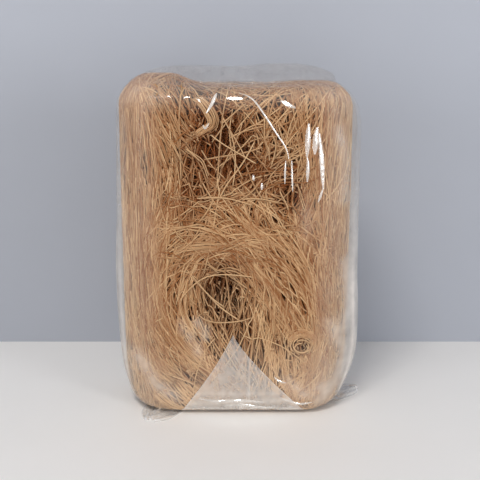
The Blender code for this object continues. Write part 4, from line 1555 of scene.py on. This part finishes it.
FOLDS = (
    # The raised veils on the long crease and on the top-left V are painted highlight.
    Fold(1.0, Lit.RIGHT, ((2.2, 227.0), (9.2, 221.0), (17.6, 209.8), (26.0, 197.0), (32.6, 186.9), (34.6, 179.7)), 0.85),
    Fold(1.1, Lit.RIGHT, ((32.6, 178.6), (32.3, 172.0), (32.1, 163.2)), 0.45),
    Fold(1.1, Lit.RIGHT, ((36.5, 178.6), (36.8, 170.0), (37.4, 158.2)), 0.4),
    Fold(1.9, Lit.LEFT, ((-12.3, 226.5), (-13.6, 220.8), (-15.3, 215.5), (-18.8, 209.5)), 0.85),
    Fold(1.9, Lit.LAMP, ((-5.9, 219.6), (-1.0, 219.1), (4.7, 218.8))),
    Fold(2.4, Lit.LAMP, ((29.0, 218.0), (33.8, 214.7), (38.3, 212.8))),
    Fold(3.2, Lit.RIGHT, ((47.2, 202.5), (47.0, 192.0), (46.4, 181.0))),
    Fold(2.0, Lit.RIGHT, ((46.5, 181.0), (47.2, 176.0), (46.8, 164.5))),
    Fold(3.4, Lit.RIGHT, ((52.6, 200.4), (52.1, 193.0), (51.3, 182.9))),
    Fold(2.8, Lit.RIGHT, ((54.0, 196.4), (55.4, 184.0), (56.2, 174.0), (57.0, 159.9))),
    Fold(1.4, Lit.RIGHT, ((57.0, 160.6), (55.6, 156.0), (53.9, 151.2))),
    Fold(1.6, Lit.RIGHT, ((11.3, 169.0), (11.9, 165.2))),
    Fold(1.6, Lit.RIGHT, ((17.2, 163.6), (17.2, 159.2))),
    Fold(1.3, Lit.LAMP, ((-21.0, 201.9), (-19.7, 199.9), (-17.1, 203.2))),
    Fold(0.5, Lit.LAMP, ((-44.0, 222.4), (-42.6, 221.5), (-41.8, 221.2)), 0.5),
    Fold(0.5, Lit.LAMP, ((-33.4, 219.9), (-31.6, 220.9), (-29.4, 220.6)), 0.5),
    Fold(0.9, Lit.LAMP, ((-25.2, 219.4), (-23.6, 218.0), (-22.6, 216.4)), 0.5),
    Fold(1.2, Lit.LAMP, ((26.1, 28.6), (28.9, 26.3), (34.4, 24.8))),
    Fold(1.6, Lit.LAMP, ((-26.0, 12.5), (-12.0, 10.8), (4.0, 12.0), (19.0, 10.6))),
    Fold(1.4, Lit.LAMP, ((-8.0, 7.2), (8.0, 8.0), (26.0, 7.0))),
    Fold(1.3, Lit.LAMP, ((30.0, 13.0), (42.0, 9.6), (52.0, 10.4))),
)


@dataclass
class FilmFolds:
    """The pinched folds that catch the studio lights."""

    form: PackForm
    toward: dict[Lit, np.ndarray]
    eye: np.ndarray

    def ridge(self, shape: bmesh.types.BMesh, fold: Fold) -> None:
        """Adds one fold: a low tent whose broad face leans towards its light.

        Args:
            shape: The mesh to add to.
            fold: The fold.
        """
        marks = np.array(fold.marks_mm, float)
        flat = smooth_route(marks, 4 + 4 * len(marks))
        base = self.form.on_front(flat[:, 0], flat[:, 1])
        base = self.form.settled(base, self.form.slack(base) + 0.0001)
        outward = self.form.outward(base)
        tangent = unit(np.gradient(base, axis=0))
        across = unit(np.cross(tangent, outward))
        half = unit(unit(self.eye - base) + unit(self.toward[fold.lit] - base))
        lean = np.arctan2((half * across).sum(1), (half * outward).sum(1))
        lean = np.clip(lean, -0.75, 0.75)
        side = np.where(lean.mean() < 0, -1.0, 1.0)
        share = np.linspace(0, 1, len(base))
        run = np.concatenate([[0.0], np.cumsum(np.linalg.norm(np.diff(base, axis=0), axis=1))])
        if fold.lit is Lit.LAMP:
            pitch = np.arctan2((half * tangent).sum(1), (half * outward).sum(1)).mean()
            climb = np.clip(-math.tan(pitch) * (run - run[-1] / 2), -0.0009, 0.0009)
            base = base + outward * (climb - climb.min())[:, None]
        taper = np.sin(np.pi * np.clip(share, 0.04, 0.96)) ** 0.5
        width = fold.width_mm * MM * taper
        lift = width * np.clip(np.tan(np.abs(lean)), 0.12, 0.8)
        rows = []
        for reach, rise in ((0.5, 0.0), (0.25, 0.45), (-0.35, 0.95), (-0.5, 1.0), (-0.62, 0.55), (-0.66, 0.0)):
            offset = across * (side * reach * width)[:, None] + outward * (lift * rise)[:, None]
            rows.append([shape.verts.new(point) for point in base + offset])
        for first, second in zip(rows, rows[1:] + rows[:1]):
            for index in range(len(base) - 1):
                shape.faces.new((first[index], first[index + 1], second[index + 1], second[index]))
        shape.faces.new([row[0] for row in rows])
        shape.faces.new([row[-1] for row in rows])

    def build(self, material: bpy.types.Material) -> bpy.types.Object:
        """Makes every fold as one piece.

        Args:
            material: The folds' finish.

        Returns:
            The object.
        """
        shape = bmesh.new()
        veils_and_glints = []
        for fold in FOLDS:
            before = len(shape.verts)
            self.ridge(shape, fold)
            veils_and_glints += [fold.veil] * (len(shape.verts) - before)
        bmesh.ops.recalc_face_normals(shape, faces=shape.faces)
        mesh = bpy.data.meshes.new("film_folds")
        shape.to_mesh(mesh)
        shape.free()
        write_amount(mesh, "haze", np.array(veils_and_glints))
        mesh.materials.append(material)
        mesh.shade_smooth()
        mesh.set_sharp_from_angle(angle=math.radians(50))
        made = bpy.data.objects.new("film_folds", mesh)
        bpy.context.collection.objects.link(made)
        return made


def film_grid(name: str, columns: int, rows: int) -> bpy.types.Object:
    """A flat unit grid of film, to be shaped further.

    Args:
        name: The piece's name.
        columns: Cells along X.
        rows: Cells along Y.

    Returns:
        The object, with its vertices from 0 to 1 along X and Y.
    """
    deselect_all()
    bpy.ops.mesh.primitive_grid_add(x_subdivisions=columns, y_subdivisions=rows, size=1.0, location=(0.5, 0.5, 0))
    made = bpy.context.object
    made.name = made.data.name = name
    bpy.ops.object.transform_apply(location=True, rotation=True, scale=True)
    return made


def thicken(made: bpy.types.Object, thickness: float, shown: tuple[float, float, float]) -> None:
    """Gives a sheet its thickness, closes its rim and leaves the haze on its shown side only.

    Args:
        made: The sheet.
        thickness: How thick it becomes.
        shown: The direction that its hazy side faces.
    """
    wall = made.modifiers.new("wall", "SOLIDIFY")
    wall.thickness = thickness
    wall.offset = 0.0
    apply_modifier(made, "wall")
    mesh = made.data
    haze = np.empty(len(mesh.vertices), np.float32)
    mesh.attributes["haze"].data.foreach_get("value", haze)
    normals = np.empty(len(mesh.vertices) * 3, np.float32)
    mesh.vertex_normals.foreach_get("vector", normals)
    facing = normals.reshape(-1, 3) @ np.array(shown, np.float32)
    mesh.attributes["haze"].data.foreach_set("value", np.where(facing > 0, haze, 0.0).astype(np.float32))


@dataclass
class FilmHeader:
    """The gathered end of the bag that stands up behind the top edge."""

    form: PackForm
    left: float = -0.066
    right: float = 0.069
    rise: float = 0.015
    lean: float = 0.012
    root_y: float = 0.010

    def build(self, material: bpy.types.Material) -> bpy.types.Object:
        """Makes the header.

        Args:
            material: The film's finish.

        Returns:
            The object.
        """
        made = film_grid("film_header", 150, 22)
        mesh = made.data
        flat = vertex_places(mesh)
        share, level = flat[:, 0], flat[:, 1]
        x = self.left + (self.right - self.left) * share
        shoulder = np.sin(np.pi * np.clip(share, 0, 1)) ** 0.35
        wave = 0.0022 * np.sin(9.5 * share + 0.8) + 0.0012 * np.sin(23 * share)
        pleat = 0.0007 * np.sin(61 * share + 3 * np.sin(5 * share)) + 0.0004 * np.sin(127 * share)
        top = self.form.height + self.rise * shoulder * (0.86 + 0.14 * np.cos(7 * share))
        root = self.form.height - 0.004
        z = root + (top - root) * level
        slope = 0.0010 * np.sin(17 * share + 2.5 * level)
        y = self.root_y + self.lean * level**2 + wave * level + pleat * (0.3 + level) + slope
        place_vertices(mesh, np.stack([x, y, z], -1))
        haze = 0.26 + 0.10 * np.exp(-(((level - 0.2) / 0.2) ** 2)) + 0.20 * np.exp(-(((level - 1.0) / 0.03) ** 2))
        write_amount(mesh, "haze", haze)
        mesh.materials.append(material)
        mesh.shade_smooth()
        thicken(made, 0.00012, (0.0, -1.0, 0.0))
        return made


@dataclass
class FrontFlap:
    """The bag's folded end, turned up on the front as a triangle of several layers."""

    form: PackForm
    apex_z: float = 0.058
    base_z: float = 0.003

    def outline(self, rise: np.ndarray, layer: int) -> tuple[np.ndarray, np.ndarray]:
        """The left and right edge at a height.

        Args:
            rise: 0 at the base to 1 at the apex.
            layer: 0 for the outer layer, and 1 or more for those under it.

        Returns:
            The x of each edge.
        """
        inset = 0.0035 * layer
        left = -0.038 + 0.036 * rise + 0.0022 * np.sin(np.pi * rise) + inset
        right = -0.0015 + 0.0490 * (1 - rise) ** 1.2 - inset * 1.3
        return left, np.maximum(right, left + 0.0006)

    def layer(self, index: int, material: bpy.types.Material) -> bpy.types.Object:
        """Makes one layer.

        Args:
            index: 0 for the outer layer, and 1 or more for those under it.
            material: The film's finish.

        Returns:
            The object.
        """
        made = film_grid(f"film_flap_layer_{index}", 60, 56)
        mesh = made.data
        flat = vertex_places(mesh)
        share, rise = flat[:, 0], flat[:, 1]
        top = self.apex_z - 0.006 * index
        z = self.base_z + (top - self.base_z) * rise
        left, right = self.outline(rise, index)
        x = left + (right - left) * share
        start = np.stack([x, np.full_like(x, -self.form.depth / 2), z], -1)
        crumple = np.array(
            [noise.noise(Vector((p[0] * 170, p[2] * 120, 3.0 * index))) for p in start]
        )
        fine = np.array([noise.noise(Vector((p[0] * 420, p[2] * 300, 7.0 + index))) for p in start])
        seam = np.exp(-(((x - 0.009) / 0.0007) ** 2)) if index == 0 else 0.0
        rim = np.exp(-((share / 0.02) ** 2)) * 0.00035
        height = 0.0012 - 0.0003 * index + 0.00030 * crumple + 0.00012 * fine + 0.0004 * seam + rim
        places = self.form.settled(start, 0.0, 4)
        places = self.form.settled(places, height, 2)
        place_vertices(mesh, places)
        edge = np.exp(-((share / 0.025) ** 2)) + 0.5 * np.exp(-(((1 - share) / 0.03) ** 2))
        bands = np.exp(-(((rise - 0.10 - 0.06 * share) / 0.035) ** 2)) + 0.7 * np.exp(-(((rise - 0.24) / 0.03) ** 2))
        haze = 0.29 + 0.10 * crumple + 0.08 * fine + 0.08 * edge + 0.14 * seam + 0.16 * bands
        haze = np.clip(haze, 0, 1) if index == 0 else 0.08 * np.ones(len(haze))
        write_amount(mesh, "haze", haze)
        mesh.materials.append(material)
        mesh.shade_smooth()
        thicken(made, 0.00010, (0.0, -1.0, 0.0))
        return made

    def build(self, material: bpy.types.Material) -> list[bpy.types.Object]:
        """Makes the layers of the flap."""
        return [self.layer(index, material) for index in range(2)]


@dataclass
class FilmEar:
    """A corner of the bag's end that lies beside the foot."""

    name: str
    root: tuple[float, float]
    tip: tuple[float, float]
    width: float
    curl: float

    def build(self, material: bpy.types.Material) -> bpy.types.Object:
        """Makes the ear.

        Args:
            material: The film's finish.

        Returns:
            The object.
        """
        made = film_grid(self.name, 40, 36)
        mesh = made.data
        flat = vertex_places(mesh)
        share, reach = flat[:, 0] - 0.5, flat[:, 1]
        along = np.array([*self.tip, 0.0]) - np.array([*self.root, 0.0])
        aside = unit(np.array([-along[1], along[0], 0.0]))
        spread = self.width * np.sqrt(1 - 0.93 * reach**2)
        fold = 0.0016 * np.exp(-(((share + 0.12 * reach) / 0.06) ** 2)) * (1 - 0.6 * reach)
        ripple = 0.0005 * np.sin(21 * share + 9 * reach) * reach
        lift = 0.0006 + self.curl * reach**2 + 0.0006 * (1 + np.cos(math.tau * share)) * reach + fold + ripple
        places = np.array([*self.root, 0.0]) + along * reach[:, None] + aside * (spread * share)[:, None]
        places[:, 2] = np.maximum(lift, 0.0003)
        place_vertices(mesh, places)
        rim = np.exp(-(((0.5 - np.abs(share)) / 0.04) ** 2)) + np.exp(-(((1 - reach) / 0.04) ** 2))
        write_amount(mesh, "haze", np.clip(0.08 + 0.40 * rim + 150 * fold, 0, 1))
        mesh.materials.append(material)
        mesh.shade_smooth()
        thicken(made, 0.00012, (0.0, 0.0, 1.0))
        return made


@dataclass
class NoodleCore:
    """A dark body inside the block, behind the last noodles that can be seen, whose dark colour is painted shade."""

    form: PackForm
    depth: float = 0.0135
    cell: float = 0.006

    def build(self, material: bpy.types.Material) -> bpy.types.Object:
        """Makes the core.

        Args:
            material: The core's finish.

        Returns:
            The object.
        """
        made = boxed_start("noodle_core", self.form, self.cell)
        mesh = made.data
        places = self.form.settled(vertex_places(mesh) * [0.85, 0.7, 0.93] + [0, 0, 0.008], -self.depth, 5)
        places = self.form.settled(places, -self.depth - 0.7 * self.form.hollow(places), 3)
        place_vertices(mesh, places)
        mesh.materials.append(material)
        mesh.shade_smooth()
        return made


@dataclass
class Studio:
    """A pale floor, a plain wall close behind, soft lights and the camera."""

    eye: tuple[float, float, float] = (0.0028, -0.6982, 0.2967)
    aim: tuple[float, float, float] = (0.0028, -0.0350, 0.1252)
    lens: float = 77.5
    wall_y: float = 0.112
    lights: dict = field(
        default_factory=lambda: {
            Lit.LAMP: ((-0.22, -0.62, 1.15), (0.30, 0.30), 22.0, (1.0, 0.97, 0.93)),
            Lit.LEFT: ((-1.05, -1.05, 0.34), (0.30, 0.75), 6.5, (0.97, 0.98, 1.0)),
            Lit.RIGHT: ((1.00, -0.98, 0.26), (0.32, 0.80), 9.5, (0.95, 0.97, 1.0)),
        }
    )

    def plane(self, name: str, size: float, material: bpy.types.Material) -> bpy.types.Object:
        """A stage plane at the origin."""
        deselect_all()
        bpy.ops.mesh.primitive_plane_add(size=size, location=(0, 0, 0))
        made = bpy.context.object
        made.name = made.data.name = name
        made.data.materials.append(material)
        return made

    def build(self) -> None:
        """Makes the stage, the lights, the world and the camera."""
        self.plane("floor", 6.0, StageFinish("floor_white", (0.86, 0.845, 0.825, 1.0)).build())
        wall = self.plane("wall", 6.0, StageFinish("wall_grey_blue", (0.41, 0.43, 0.48, 1.0)).build())
        wall.rotation_euler = (math.radians(90), 0, 0)
        wall.location = (0, self.wall_y, 3.0)
        centre = Vector((0, 0, 0.11))
        for lit, (place, size, radiance, colour) in self.lights.items():
            data = bpy.data.lights.new(f"light_{lit.value}", "AREA")
            data.shape = "RECTANGLE"
            data.size, data.size_y = size
            data.energy = radiance * math.pi * size[0] * size[1]
            data.color = colour
            light = bpy.data.objects.new(data.name, data)
            light.location = place
            light.rotation_euler = (centre - Vector(place)).to_track_quat("-Z", "Y").to_euler()
            light.visible_camera = False
            bpy.context.collection.objects.link(light)
        world = bpy.data.worlds.new("soft_room")
        world.use_nodes = True
        backdrop = world.node_tree.nodes["Background"]
        backdrop.inputs["Color"].default_value = (0.93, 0.95, 1.0, 1.0)
        backdrop.inputs["Strength"].default_value = 0.38
        bpy.context.scene.world = world
        lens = bpy.data.cameras.new("camera")
        lens.lens = self.lens
        lens.sensor_width = 36.0
        camera = bpy.data.objects.new("camera", lens)
        camera.location = self.eye
        camera.rotation_euler = (Vector(self.aim) - Vector(self.eye)).to_track_quat("-Z", "Y").to_euler()
        bpy.context.collection.objects.link(camera)
        bpy.context.scene.camera = camera
        bpy.context.scene.view_settings.view_transform = "Standard"


def hand_over(pieces: list[bpy.types.Object], slot: Slot) -> None:
    """Rides pieces on the pack, hides the solid, lets only the noodle pieces cast shadows and logs their triangles.

    Args:
        pieces: The finished pieces.
        slot: Their material slot.
    """
    for piece in pieces:
        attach(piece, PACK_BODY)
        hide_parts(PACK_NODE)
        piece.visible_shadow = slot is Slot.NOODLE
        piece.data.calc_loop_triangles()
        log.info("%s: %d triangles", piece.name, len(piece.data.loop_triangles))


def main() -> None:
    """Builds the dressed pack, piece by piece."""
    logging.basicConfig(level=logging.INFO, format="%(message)s")
    deselect_all()
    form = PackForm()
    studio = Studio()
    studio.build()
    grain, crinkle = starch_grain_group(), film_crinkle_group()
    noodle = NoodleFinish().build(grain)
    block = NoodleBlock(form, NoodleGrower(form, NoodleLie(form), 27))
    hand_over(block.build(noodle), Slot.NOODLE)
    hand_over([NoodleCore(form).build(CoreFinish().build(grain))], Slot.NOODLE)
    clear = FilmFinish("film_clear").build(crinkle)
    gathered = FilmFinish("film_gathered", crinkle=0.4, scale=1.8, colour=(0.29, 0.25, 0.22, 1.0)).build(crinkle)
    layered = FilmFinish("film_layered", crinkle=0.5, scale=1.8, gloss=0.02, cloudiness=0.12, colour=(0.86, 0.81, 0.75, 1.0),
        thick_colour=(0.90, 0.87, 0.84, 1.0))
    layered = layered.build(crinkle)
    resting = FilmFinish("film_loose", crinkle=0.6, scale=1.8, gloss=0.03, colour=(0.95, 0.95, 0.95, 1.0)).build(crinkle)
    folded = FilmFinish("film_folded", veil=0.02, gloss=0.16, crinkle=0.15, scale=2.5).build(crinkle)
    toward = {lit: np.array(setting[0]) for lit, setting in studio.lights.items()}
    hand_over([FilmShell(form).build(clear)], Slot.FILM)
    hand_over([FilmFolds(form, toward, np.array(studio.eye)).build(folded)], Slot.FILM)
    hand_over([FilmHeader(form).build(gathered)], Slot.FILM)
    hand_over(FrontFlap(form).build(layered), Slot.FILM)
    ears = (
        FilmEar("film_ear_left", (-0.048, -0.018), (-0.058, -0.046), 0.030, 0.0),
        FilmEar("film_ear_right", (0.054, 0.000), (0.088, 0.003), 0.036, 0.004),
    )
    hand_over([ear.build(resting) for ear in ears], Slot.FILM)
    deselect_all()


if __name__ == "__main__":
    main()
